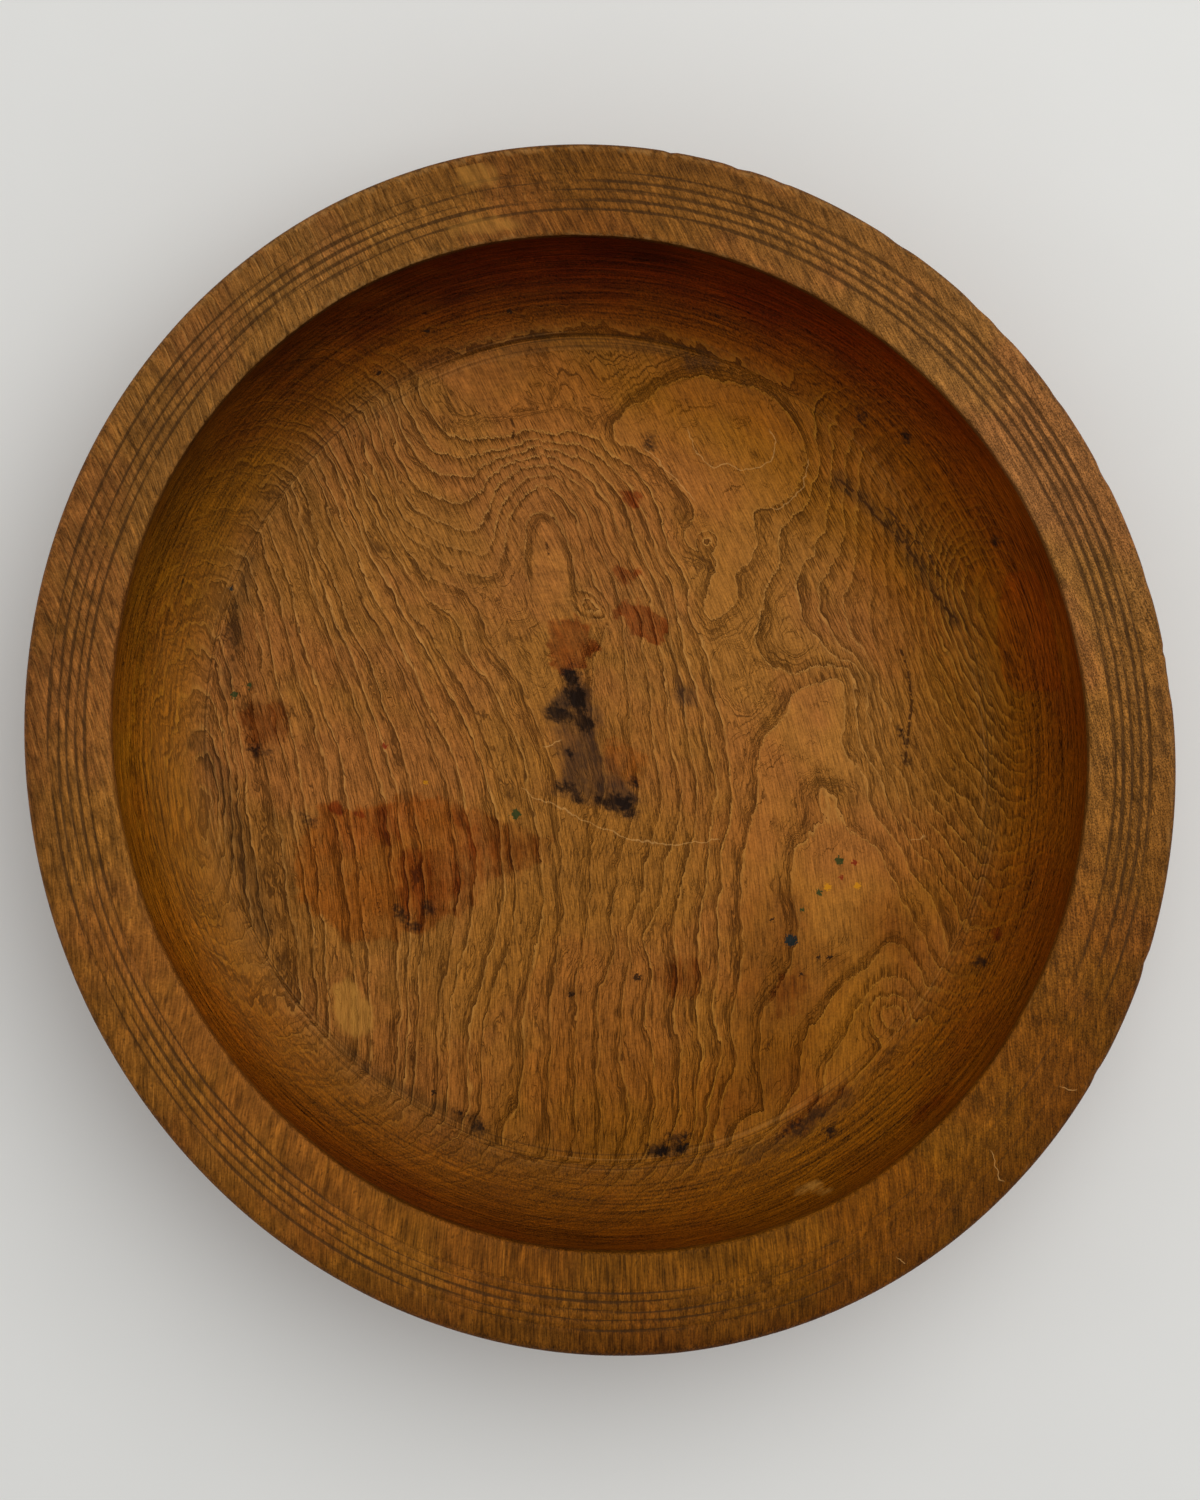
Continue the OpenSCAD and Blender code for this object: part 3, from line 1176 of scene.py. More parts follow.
@dataclass(frozen=True)
class RimFace(WoodColours):
    """The rim, greyed partly by handling and partly by a painted sheen at the upper right and upper left,
    with strokes along the fibres, mottle, stipple and pits.
    """

    rim_tone: Colour = (0.8, 0.79, 0.8)
    rim_shows: float = 0.9
    # Lighter, greyer tint: partly handled wood, partly a painted sheen
    grey_and_sheen_tone: Colour = (1.02, 1.18, 1.6)
    stroke_lumps: Lumps = Lumps(1.2, 11)
    stroke_light: float = 2.4
    mottle_lumps: Lumps = Lumps(5, 11, 3)
    mottle_light: float = 1.9
    outside_mottle_light: float = 0.8
    stipple_lumps: Lumps = Lumps(0.6, 0.9)
    stipple_light: float = 5.0
    stipple_edge: Band = (0.0, 0.2)
    stipple_shows: float = 0.3
    darkest: float = 0.45
    line_lumps: Lumps = Lumps(0.9, 16, 1)
    line_edge: Band = (0.06, 0.2)
    lines_show: float = 0.55
    pit_lumps: Lumps = Lumps(1.4, 2.4, 1)
    pits_by_mottle: float = 0.5
    pits_in_grooves: float = 0.07
    pit_edge: Band = (0.13, 0.3)
    rough_pit_loss: float = 0.7
    pits_show: float = 0.6

    def colour(self, bench: WoodBench, wood: Wire) -> Wire:
        """Grey and roughen the rim.

        Args:
            bench: The material's bench.
            wood: The colour so far.

        Returns:
            The colour with the rim's.
        """
        rough = bench.mark("rough")
        brushed = bench.mark("brushed")
        wood = bench.tint(bench.rim * self.rim_shows, wood, self.rim_tone)
        # Painted sheen, partly handling, greys and lightens the rim by angle
        wood = bench.tint(bench.mark("greyed_and_sheen"), wood, self.grey_and_sheen_tone)
        face = bench.rim * (1 - bench.outer)
        mottle = bench.grain(self.mottle_lumps)
        stipple = bench.grain(self.stipple_lumps)
        light = 1 + bench.grain(self.stroke_lumps) * brushed * self.stroke_light
        light = light + mottle * (face * self.mottle_light + bench.outer * self.outside_mottle_light)
        light = light + stipple * rough * self.stipple_light
        wood = bench.brighten(wood, light.at_least(self.darkest))
        lines = bench.grain(self.line_lumps).ease(*self.line_edge)
        wood = bench.mix(lines * brushed * self.lines_show, wood, self.grime)
        dirt = stipple.ease(*self.stipple_edge) * rough * self.stipple_shows
        wood = bench.mix(dirt, wood, self.grime)
        pits = bench.grain(self.pit_lumps) + mottle * self.pits_by_mottle
        pits = (pits + bench.mark("groove") * self.pits_in_grooves).ease(*self.pit_edge)
        pits = pits * face * (1 - rough * self.rough_pit_loss) * self.pits_show
        return bench.mix(pits, wood, self.grime)


@dataclass(frozen=True)
class OldAge(WoodColours):
    """Browned and reddened wood, scraped places and worn edges from years of use, and the painted shade,
    light and highlights laid with them on the wall, the rim and its edges.
    """

    clouds: Clouds = Clouds(0.03, 4)
    wall_tone: Colour = (1.0, 0.94, 0.22)
    # Tint of the patina, which also carries painted shade low on the floor, by the crease and round the lower
    # rim
    patina_and_shade_tone: Colour = (0.82, 0.7, 0.15)
    patina_cloud: float = 0.4
    # Tint of the painted shade on the wall, the floor by the crease, the lip, the rim and its outer edge
    painted_shade_tone: Colour = (0.2, 0.16, 0.16)
    # Red-brown of the wall: partly the wood's own, partly the colour of the painted shade
    red_brown: Colour = (1.0, 0.4, 0.1)
    dark_cloud: float = 0.5
    # Scraped places on the wall: pale bared wood, lightened further as painted light on the left and lower
    # left of the wall
    scraped_cloud: float = 2
    scraped_tone: Colour = tone(144, 94, 36)
    scraped_shows: float = 0.5
    scraped_and_lit_gain: Colour = (1.2, 1.2, 1.3)

    # Arcs of the rings up the wall
    arc_rows: float = 7
    arc_length: float = 24
    arc_detail: float = 1
    arc_edge: Band = (0.02, 0.15)
    arcs_show: float = 0.26
    scraped_arcs_show: float = 0.35

    # Lines scored by the tool at the crease, in millimetres from it
    crease_width: Band = (8.0, 2.0)
    score_lumps: Lumps = Lumps(0.8, 140, 1)
    dark_score: Band = (0.04, 0.15)
    dark_score_shows: float = 0.5
    pale_score: Band = (-0.1, -0.2)
    pale_score_shows: float = 0.14

    # Dark in the rim's rings, partly dirt and partly painted shade; and the lip and outer edge, partly worn
    # and partly a painted highlight
    dirt_lumps: Lumps = Lumps(1.6, 60)
    dirt: float = 0.8
    dirt_varies: float = 3
    dirt_edge: Band = (0.05, 0.7)
    thin_dirt: float = 0.42
    groove_dark_shows: float = 0.72
    # Pale lip and outer edge: partly rubbed bare, partly a painted highlight where they catch the light
    worn_and_lit: float = 0.6
    worn_streaks: float = 2
    worn_edge: Band = (0.2, 1.0)
    worn_shows: float = 0.3

    def colour(self, bench: WoodBench, wood: Wire, grain: Grain) -> Wire:
        """Age the wood.

        Args:
            bench: The material's bench.
            wood: The colour so far.
            grain: The grain.

        Returns:
            The aged colour.
        """
        cloud = bench.clouds(self.clouds)
        dark_cloud = 1 + cloud * self.dark_cloud
        wood = bench.tint(bench.wall, wood, self.wall_tone)
        # Patina, partly painted shade: darker low on the floor, by the crease at the right and top, and round
        # the lower rim
        wood = bench.tint(bench.mark("patina_and_shade") + cloud * self.patina_cloud, wood, self.patina_and_shade_tone)
        # Painted shade: the wall, the floor by the crease, the lip, the rim and its outer edge are darkened
        # where less light falls
        wood = bench.tint(bench.mark("painted_shade") * dark_cloud, wood, self.painted_shade_tone)
        # Redder wall by angle and height: partly the wood's red-brown, partly the colour of the painted shade
        wood = bench.tint(bench.mark("redden_and_shade") * dark_cloud, wood, self.red_brown)
        # Scraped wall: bared wood, lightened as painted light where the wall faces the light
        scraped_and_lit = bench.mark("scraped_and_lit") * (1 + cloud * self.scraped_cloud)
        wood = bench.mix(scraped_and_lit * self.scraped_shows, wood, self.scraped_tone)
        wood = bench.tint(scraped_and_lit, wood, self.scraped_and_lit_gain)

        along = bench.along / self.arc_length
        across = bench.across / self.arc_length
        arcs = bench.uneven(bench.vector(grain.ring * self.arc_rows, along, across), detail=self.arc_detail)
        arcs = arcs.ease(*self.arc_edge) * bench.wall
        arcs = arcs * (self.arcs_show + scraped_and_lit * self.scraped_arcs_show)
        wood = bench.mix(arcs, wood, self.pore)

        crease = bench.mark("crease").ease(*self.crease_width)
        scored = bench.turning(self.score_lumps)
        wood = bench.mix(scored.ease(*self.dark_score) * crease * self.dark_score_shows, wood, self.grime)
        wood = bench.mix(scored.ease(*self.pale_score) * crease * self.pale_score_shows, wood, self.bared_and_highlight)

        # Dark in the rim's grooves: partly dirt, partly painted shade
        dirt = bench.mark("groove") * (self.dirt + bench.turning(self.dirt_lumps) * self.dirt_varies)
        clean_to, full_at = self.dirt_edge
        dirt = dirt.ease(clean_to + bench.mark("thin") * self.thin_dirt, full_at)
        wood = bench.mix(dirt * self.groove_dark_shows, wood, self.grime)
        # Lip and outer edge: partly rubbed bare, partly a painted highlight where they catch the light
        worn_and_lit = bench.mark("worn_and_lit") * (self.worn_and_lit + grain.streak * self.worn_streaks)
        return bench.mix(worn_and_lit.ease(*self.worn_edge) * self.worn_shows, wood, self.bared_and_highlight)


@dataclass(frozen=True)
class StainLook:
    """How one kind of stain lies on the wood."""

    colour: Colour
    edge: Band
    strength: float
    ragged: float = 1.0
    drawn_in: float = 0.0
    patchy: float = 0.0
    streaky: float = 0.0
    tattered: float = 0.0
    rim_loss: float = 0.0
    heart: float = 0.0
    blend: Blend = Blend.TINT


# The look of each kind of stain, in the order that they lie on the wood
STAIN_LOOKS: dict[StainKind, StainLook] = {
    StainKind.RED: StainLook((0.62, 0.34, 0.2), (0.8, -1.5), 0.75, drawn_in=0.6, patchy=1.0),
    StainKind.BROWN: StainLook((0.56, 0.37, 0.19), (1.5, -2.5), 0.42, drawn_in=1.0, patchy=0.9, heart=0.3),
    StainKind.WASH: StainLook((0.86, 0.64, 0.38), (2.0, -2.5), 0.85, drawn_in=0.6, patchy=1.4),
    StainKind.DULL: StainLook((0.7, 0.64, 0.56), (8.0, -8.0), 0.8, ragged=1.5, drawn_in=0.5, patchy=1.0),
    StainKind.AMBER: StainLook((1.0, 0.82, 0.5), (0.6, -1.0), 1.0, ragged=0.25),
    StainKind.HAZE: StainLook(
        tone(60, 40, 26), (4.0, -4.0), 0.6, drawn_in=0.5, patchy=1.6, blend=Blend.LAY
    ),
    StainKind.BLACK: StainLook(
        tone(30, 18, 10), (2.5, -2.5), 0.88, ragged=0.8, drawn_in=0.4, patchy=1.0, tattered=9.0,
        blend=Blend.LAY,
    ),
    StainKind.PALE: StainLook(
        tone(182, 126, 52), (1.5, -3.5), 0.68, ragged=0.6, streaky=1.6, rim_loss=0.525, blend=Blend.LAY
    ),
    StainKind.GRIME: StainLook(
        WoodColours().grime, (2.5, -3.0), 0.36, ragged=0.7, drawn_in=0.6, blend=Blend.LAY
    ),
}


@dataclass(frozen=True)
class Stains(WoodColours):
    """Stains, grime, cracks and scratches."""

    ragged_edge: Clouds = Clouds(0.13, 5)
    ragged_width: float = 16
    patches: Clouds = Clouds(0.06, 4)
    tatters: Clouds = Clouds(0.55, 3)
    early_draws: float = 0.35
    pores_draw: float = 0.5
    streaks_draw: float = 1.2
    heart_depth: Band = (0.0, -12.0)

    # Cracks and scratches, in millimetres to the side of their middle and past their ends
    jitter: Clouds = Clouds(0.5, 3)
    jitter_width: float = 1.6
    breaks: Clouds = Clouds(0.35)
    break_edge: Band = (-0.12, 0.02)
    crack_width: Band = (1.0, 0.4)
    crack_end: Band = (1.0, -1.5)
    crack_shows: float = 0.9
    bends: Clouds = Clouds(0.13)
    bend_width: float = 7
    scratch_jitter: float = 0.3
    scratch_width: Band = (0.45, 0.1)
    scratch_end: Band = (1.0, -2.0)
    scratch_shows: float = 0.5

    def colour(self, bench: WoodBench, wood: Wire, grain: Grain) -> Wire:
        """Lay the stains, the grime and the fine lines on the wood.

        Args:
            bench: The material's bench.
            wood: The colour so far.
            grain: The grain.

        Returns:
            The stained colour.
        """
        ragged = bench.clouds(self.ragged_edge) * self.ragged_width
        patches = bench.clouds(self.patches)
        tatters = bench.clouds(self.tatters)
        drawn = grain.early * self.early_draws + grain.pores * self.pores_draw
        drawn = drawn + grain.streak * self.streaks_draw
        for kind, look in STAIN_LOOKS.items():
            depth = bench.mark(kind.value) + ragged * look.ragged
            if look.tattered:
                depth = depth + tatters * look.tattered
            strength = look.strength + drawn * look.drawn_in + patches * look.patchy
            if look.streaky:
                strength = strength + grain.streak * look.streaky
            if look.rim_loss:
                strength = strength * (1 - bench.rim * look.rim_loss)
            stain = depth.ease(*look.edge) * strength
            if look.heart:
                stain = stain + depth.ease(*self.heart_depth) * look.heart
            wood = bench.mix(stain, wood, look.colour, look.blend)
        return self.fine_lines(bench, wood)

    def fine_lines(self, bench: WoodBench, wood: Wire) -> Wire:
        """Draw the cracks and scratches.

        Args:
            bench: The material's bench.
            wood: The colour so far.

        Returns:
            The colour with the fine lines.
        """
        jitter = bench.clouds(self.jitter) * self.jitter_width
        broken = bench.clouds(self.breaks).ease(*self.break_edge)
        crack = abs(bench.mark("crack") + jitter).ease(*self.crack_width)
        crack = crack * bench.mark("crack_end").ease(*self.crack_end) * broken
        wood = bench.mix(crack * self.crack_shows, wood, self.pore)
        beside = bench.mark("scratch") + jitter * self.scratch_jitter
        beside = beside + bench.clouds(self.bends) * self.bend_width
        scratch = abs(beside).ease(*self.scratch_width) * bench.mark("scratch_end").ease(*self.scratch_end)
        return bench.mix(scratch * self.scratch_shows, wood, self.bared_and_highlight)


@dataclass(frozen=True)
class PlacedFleck:
    """A fleck on the bowl: its place in metres and its radius in millimetres."""

    place: Array
    radius: float


@dataclass(frozen=True)
class Specks:
    """Flecks of paint and pin holes, with ragged edges."""

    ragged_scale: float = 700.0
    ragged_reach: float = 5.0 * MM
    edge: Band = (0.3, -0.2)
    cover: float = 0.9

    def colour(self, bench: WoodBench, wood: Wire, flecks: dict[FleckKind, list[PlacedFleck]]) -> Wire:
        """Lay the flecks on the wood.

        Args:
            bench: The material's bench.
            wood: The colour so far.
            flecks: The flecks of each kind.

        Returns:
            The flecked colour.
        """
        shift = bench.noise(bench.place, self.ragged_scale, out="Color")
        shift = bench.vector_maths("SUBTRACT", {0: shift, 1: (0.5, 0.5, 0.5)})
        shift = bench.vector_maths("SCALE", {0: shift, "Scale": self.ragged_reach})
        moved = bench.vector_maths("ADD", {0: bench.place, 1: shift})
        for kind, placed in flecks.items():
            nearest: Wire | None = None
            for fleck in placed:
                beyond = bench.vector_maths("DISTANCE", {0: moved, 1: fleck.place}, "Value") / MM
                beyond = beyond - fleck.radius
                nearest = beyond if nearest is None else nearest.at_most(beyond)
            wood = bench.mix(nearest.ease(*self.edge) * self.cover, wood, tone(*kind.value))
        return wood


@dataclass(frozen=True)
class OldWood:
    """Oiled hardwood, worn, stained and darkened with use, with painted shade, light and highlights."""

    figure: GrowthFigure = GrowthFigure()
    bare: BareWood = BareWood()
    rim: RimFace = RimFace()
    age: OldAge = OldAge()
    stains: Stains = Stains()
    specks: Specks = Specks()
    roughness: float = 0.5
    early_roughness: float = 0.08
    pore_roughness: float = 0.15
    streak_roughness: float = 0.25
    relief: float = 1.1 * MM
    crest_rise: float = 0.2
    fibre_rise: float = 0.16
    streak_rise: float = 0.3
    early_dip: float = 0.35
    pore_dip: float = 0.2
    edge_dip: float = 0.25
    thread_dip: float = 0.2
    gloss: float = 0.04

    def material(self, flecks: dict[FleckKind, list[PlacedFleck]]) -> bpy.types.Material:
        """Make the material.

        Args:
            flecks: The flecks of each kind.

        Returns:
            The material.
        """
        bench = WoodBench("old_wood")
        grain = self.figure.grain(bench)
        wood = self.bare.colour(bench, grain)
        wood = self.rim.colour(bench, wood)
        wood = self.age.colour(bench, wood, grain)
        wood = self.stains.colour(bench, wood, grain)
        wood = self.specks.colour(bench, wood, flecks)
        rough = self.roughness + grain.early * self.early_roughness + grain.pores * self.pore_roughness
        rough = rough + grain.streak * self.streak_roughness
        rise = grain.ridge_and_highlight * self.crest_rise + grain.fibre * self.fibre_rise + grain.streak * self.streak_rise
        rise = rise - grain.early * self.early_dip - grain.pores * self.pore_dip
        rise = rise - grain.edge * self.edge_dip - grain.thread * self.thread_dip
        bump = bench.add("ShaderNodeBump", {}, {"Height": rise, "Strength": 1.0, "Distance": self.relief})
        return bench.coat(Base_Color=wood, Roughness=rough, Normal=bump, Specular_IOR_Level=self.gloss)


class Zone(IntEnum):
    """The surfaces of the bowl, in the order that the section passes them."""

    FLOOR = 0
    WALL = 1
    LIP = 2
    RIM = 3
    EDGE = 4
    OUTSIDE = 5
    FOOT = 6


HOLLOW = (Zone.FLOOR, Zone.WALL)
RIM_FACE = (Zone.LIP, Zone.RIM, Zone.EDGE)
UNDERSIDE = (Zone.OUTSIDE, Zone.FOOT)
SHOWN = (Zone.FLOOR, Zone.WALL, Zone.LIP, Zone.RIM)


@dataclass
class SectionLine:
    """The half section as it is walked from the middle of the floor to the middle of the foot."""

    radii: list[float]
    heights: list[float]
    zones: list[Zone]

    def straight(self, radius: float, height: float, step: float, zone: Zone) -> None:
        """Walk straight on.

        Args:
            radius: Radius to reach.
            height: Height to reach.
            step: Length of one step, at most.
            zone: The surface.
        """
        start = np.array((self.radii[-1], self.heights[-1]))
        stop = np.array((radius, height))
        count = max(1, math.ceil(np.linalg.norm(stop - start) / step))
        for share in np.linspace(0, 1, count + 1)[1:]:
            here = start + (stop - start) * share
            self.put(here[0], here[1], zone)

    def arc(self, centre: tuple[float, float], size: float, turn: Band, step: float, zone: Zone) -> None:
        """Walk along an arc.

        Args:
            centre: The arc's centre, as radius and height.
            size: The arc's radius.
            turn: Angles to start and stop at, in radians from level.
            step: Length of one step, at most.
            zone: The surface.
        """
        count = max(2, math.ceil(abs(turn[1] - turn[0]) * size / step))
        for angle in np.linspace(*turn, count + 1)[1:]:
            self.put(centre[0] + size * math.cos(angle), centre[1] + size * math.sin(angle), zone)

    def put(self, radius: float, height: float, zone: Zone) -> None:
        """Set one point of the section.

        Args:
            radius: The point's radius.
            height: The point's height.
            zone: The surface.
        """
        self.radii.append(float(radius))
        self.heights.append(float(height))
        self.zones.append(zone)

    def soften(self, radius: float, height: float, reach: float, passes: int) -> None:
        """Wear a corner soft.

        Args:
            radius: The corner's radius.
            height: The corner's height.
            reach: How far from the corner the wear goes.
            passes: How often the points are drawn together.
        """
        line = np.stack((self.radii, self.heights), axis=1)
        near = np.linalg.norm(line - (radius, height), axis=1) < reach
        near[[0, -1]] = False
        spots = np.flatnonzero(near)
        for _ in range(passes):
            line[spots] = (line[spots - 1] + 2 * line[spots] + line[spots + 1]) / 4
        self.radii = line[:, 0].tolist()
        self.heights = line[:, 1].tolist()

    def walked(self, shares: Array | float = 1.0) -> Array:
        """Measure the way along the section to each of its points.

        Args:
            shares: How much of each step counts.

        Returns:
            The lengths, in metres.
        """
        steps = np.hypot(np.diff(self.radii, prepend=0), np.diff(self.heights, prepend=self.heights[0]))
        return np.cumsum(steps * shares)


@dataclass(frozen=True)
class Turned:
    """The points of the bowl as they come off the lathe, one row or entry a point."""

    places: Array
    row: Array
    turn: Array
    radius: Array
    height: Array
    zone: Array
    pixels: Array
    seen_turn: Array

    def on(self, *zones: Zone) -> Array:
        """Tell which points lie on some of the surfaces."""
        return np.isin(self.zone, zones)


@dataclass(frozen=True)
class AgeMarks:
    """Where use has browned, reddened, scraped and roughened the bowl, and where shade, light, highlights and
    sheen are painted on it.

    Fades run across the photograph, in pixels right or down, and courses up the bowl or out from its axis.
    """

    # Wall: where it starts inside the mouth, and over what width
    wall_start: float = 42 * MM
    wall_run: float = 24 * MM

    # Patina of handling and oil; laid heavier low on the floor, by the crease at the right and the top, and
    # round the lower rim, where it is partly painted shade
    rim_patina: Around = Around((0.2, 0.0, 0.0, 0.5, 0.2, 0.2, 0.2, 0.5, 0.7, 0.85, 1.0, 0.9))
    crease_patina: Around = Around((0.65, 0.85, 0.8, 0.6, 0.1, 0.0, 0.0, 0.0, 0.0, 0.2, 0.4, 0.2))
    crease_patina_out: Course = Course((140, 175), (0, 1))
    low_patina_down: Fade = Fade(560, 1410)
    most_low_patina: float = 0.65
    clean_right: Fade = Fade(780, 860)
    clean_right_up: Fade = Fade(900, 800)
    clean_left: Fade = Fade(560, 410)
    cleaned: float = 0.6
    upper_middle: Pixel = (780, 440)
    upper_spread: Pixel = (190, 130)
    upper_reach: float = 1.5
    upper_patina: float = 0.28
    most_patina: float = 0.85

    # Painted shade on the wall, darkest at the top and upper right and up towards the lip, on the floor by
    # the crease, on the lip, on the rim's face by angle and out to its edge, and on the rounded outer edge
    wall_shade: Around = Around((0.4, 0.42, 0.74, 1.0, 1.0, 0.82, 0.38, 0.4, 0.76, 0.75, 0.4, 0.5))
    wall_shade_up: Course = Course((25, 28, 32, 38, 46, 57), (0.22, 0.45, 0.64, 0.8, 0.92, 1))
    floor_shade_out: Course = Course((165, 196), (0, 0.22))
    inner_shade: Around = Around((0.04, 0.09, 0.1, 0.37, 0.1, 0.23, 0.01, 0.0, 0.1, 0.36, 0.23, 0.31))
    middle_shade: Around = Around((0.15, 0.0, 0.02, 0.4, 0.0, 0.36, 0.08, 0.0, 0.0, 0.38, 0.4, 0.37))
    outer_shade: Around = Around((0.22, 0.04, 0.28, 0.51, 0.24, 0.14, 0.31, 0.2, 0.3, 0.62, 0.5, 0.51))
    rim_out: Course = Course((243, 255, 266), (-1, 0, 1))
    edge_shade: Around = Around((0.3, 0.1, 0.2, 0.2, 0.1, 0.1, 0.2, 0.2, 0.3, 0.6, 0.4, 0.3))
    edge_shade_in: Course = Course((0, 3, 9), (1, 0.6, 0))

    # Redder parts of the wall, highest at the top and up towards the lip, partly the wood's red-brown and
    # partly the colour of the painted shade; and scraped parts, partly pale bared wood and partly painted
    # light on the left and lower left of the wall
    red: Around = Around((0.42, 0.5, 0.95, 1.08, 0.58, 0.05, 0.04, 0.28, 0.5, 0.28, 0.1, 0.32))
    red_up: Course = Course((25, 34, 48, 70), (0.0, 0.42, 0.95, 1.2))
    scraped_and_lit: Around = Around((0.0, 0.0, 0.0, 0.0, 0.0, 0.2, 0.65, 0.72, 0.25, 0.15, 0.12, 0.0))
    scraped_up: Course = Course((24, 30, 40, 56), (0.6, 1.0, 0.8, 0))

    # The rim's face, greyed at the upper right and upper left partly by handling and partly by a painted
    # sheen
    rough: Around = Around((1.0, 0.9, 0.5, 0.25, 0.2, 0.2, 0.2, 0.1, 0.05, 0.15, 0.25, 0.5))
    brushed: Around = Around((0.5, 0.3, 0.5, 0.7, 0.4, 0.45, 0.65, 0.4, 0.3, 0.8, 0.5, 0.45))
    greyed_and_sheen: Around = Around((0.2, 0.7, 0.2, 0.0, 0.5, 0.3, 0.15, 0.0, 0.0, 0.0, 0.0, 0.1))
    figured: Around = Around((0.0, 0.0, 0.1, 0.2, 0.6, 0.55, 0.3, 0.2, 0.2, 0.2, 0.2, 0.1))
    # Where the dark in the rim's grooves, partly dirt and partly painted shade, is thinner, by angle
    thin: Around = Around((0.0, 0.0, 0.1, 0.5, 0.5, 0.45, 0.45, 0.55, 0.65, 0.9, 0.8, 0.3))

    def marks(self, turned: Turned, bowl: "DoughBowl") -> dict[str, Array]:
        """Work out the marks that the finish shows.

        Args:
            turned: The bowl's points.
            bowl: The bowl's sizes.

        Returns:
            The shares at each point, by the names that the finish reads.
        """
        on_wall = turned.on(Zone.WALL)
        on_rim_face = turned.on(*RIM_FACE)
        # Redder wall, partly the colour of the painted shade
        red = self.red(turned.seen_turn) * self.red_up(turned.height)
        # Scraped wall, partly painted light
        scraped_and_lit = self.scraped_and_lit(turned.seen_turn) * self.scraped_up(turned.height)
        marks = {
            "wall": self.wall_share(turned, bowl),
            "rim": np.where(turned.on(*HOLLOW), 0.0, 1.0),
            "outer": np.where(turned.on(*UNDERSIDE), 1.0, 0.0),
            # Patina, partly painted shade
            "patina_and_shade": self.patina_and_shade(turned),
            # Painted shade of the wall, the crease, the lip, the rim and its outer edge
            "painted_shade": self.painted_shade(turned, bowl),
            # Redder wall, partly the colour of the painted shade
            "redden_and_shade": np.where(on_wall, red, 0),
            # Scraped wall, partly painted light
            "scraped_and_lit": np.where(on_wall, scraped_and_lit, 0),
        }
        rim_shares = {
            "rough": self.rough,
            "brushed": self.brushed,
            # Painted sheen, partly handling
            "greyed_and_sheen": self.greyed_and_sheen,
            "figured": self.figured,
            "thin": self.thin,
        }
        for name, share in rim_shares.items():
            marks[name] = np.where(on_rim_face, share(turned.seen_turn), 0)
        return marks

    def wall_share(self, turned: Turned, bowl: "DoughBowl") -> Array:
        """Say how much a point is of the wall, with no sharp change at the crease.

        Args:
            turned: The bowl's points.
            bowl: The bowl's sizes.

        Returns:
            0 on the floor to 1 on the wall.
        """
        start = bowl.across / 2 - bowl.rim_width - self.wall_start
        climb = np.clip((turned.radius - start) / self.wall_run, 0, 1)
        return np.where(turned.on(*HOLLOW), climb * climb * (3 - 2 * climb), 0)

    def patina_and_shade(self, turned: Turned) -> Array:
        """Say how much handling and oil have browned the rim and the floor, with painted shade low on the
        floor, by the crease at the right and top and round the lower rim.

        Args:
            turned: The bowl's points.

        Returns:
            0 for clean, unshaded wood to 1 for the darkest.
        """
        right, down = turned.pixels.T
        low = np.minimum(self.low_patina_down(down), self.most_low_patina)
        low = low * (1 - self.clean_right(right) * self.clean_right_up(down) * self.cleaned)
        low = low * (1 - self.clean_left(right) * self.cleaned)
        crease = self.crease_patina(turned.seen_turn) * self.crease_patina_out(turned.radius)
        apart = (turned.pixels - np.array(self.upper_middle)) / np.array(self.upper_spread)
        upper = np.clip(self.upper_reach - np.hypot(*apart.T), 0, 1) * self.upper_patina
        on_floor = np.clip(low + crease + upper, 0, self.most_patina)
        return np.where(turned.on(*HOLLOW), on_floor, self.rim_patina(turned.seen_turn))

    def painted_shade(self, turned: Turned, bowl: "DoughBowl") -> Array:
        """Say how much painted shade darkens the wall, the floor by the crease, the lip, the rim's face and
        the outer edge.

        Args:
            turned: The bowl's points.
            bowl: The bowl's sizes.

        Returns:
            0 for no painted shade to 1 for the darkest.
        """
        depth = self.wall_shade(turned.seen_turn)
        inner = self.inner_shade(turned.seen_turn)
        middle = self.middle_shade(turned.seen_turn)
        outer = self.outer_shade(turned.seen_turn)
        out = self.rim_out(turned.radius)
        face = middle + (inner - middle) * np.maximum(-out, 0) + (outer - middle) * np.maximum(out, 0)
        edge = self.edge_shade(turned.seen_turn) * self.edge_shade_in(bowl.across / 2 - turned.radius)
        under = np.clip((bowl.height - turned.height) / bowl.lip_rounding, 0, 1)
        shares = np.where(turned.on(Zone.WALL), depth * self.wall_shade_up(turned.height), 0)
        shares = np.where(turned.on(Zone.FLOOR), depth * self.floor_shade_out(turned.radius), shares)
        shares = np.where(turned.on(Zone.LIP), face + (depth - face) * under, shares)
        return np.where(turned.on(Zone.RIM, Zone.EDGE), face + (1 - face) * edge, shares)


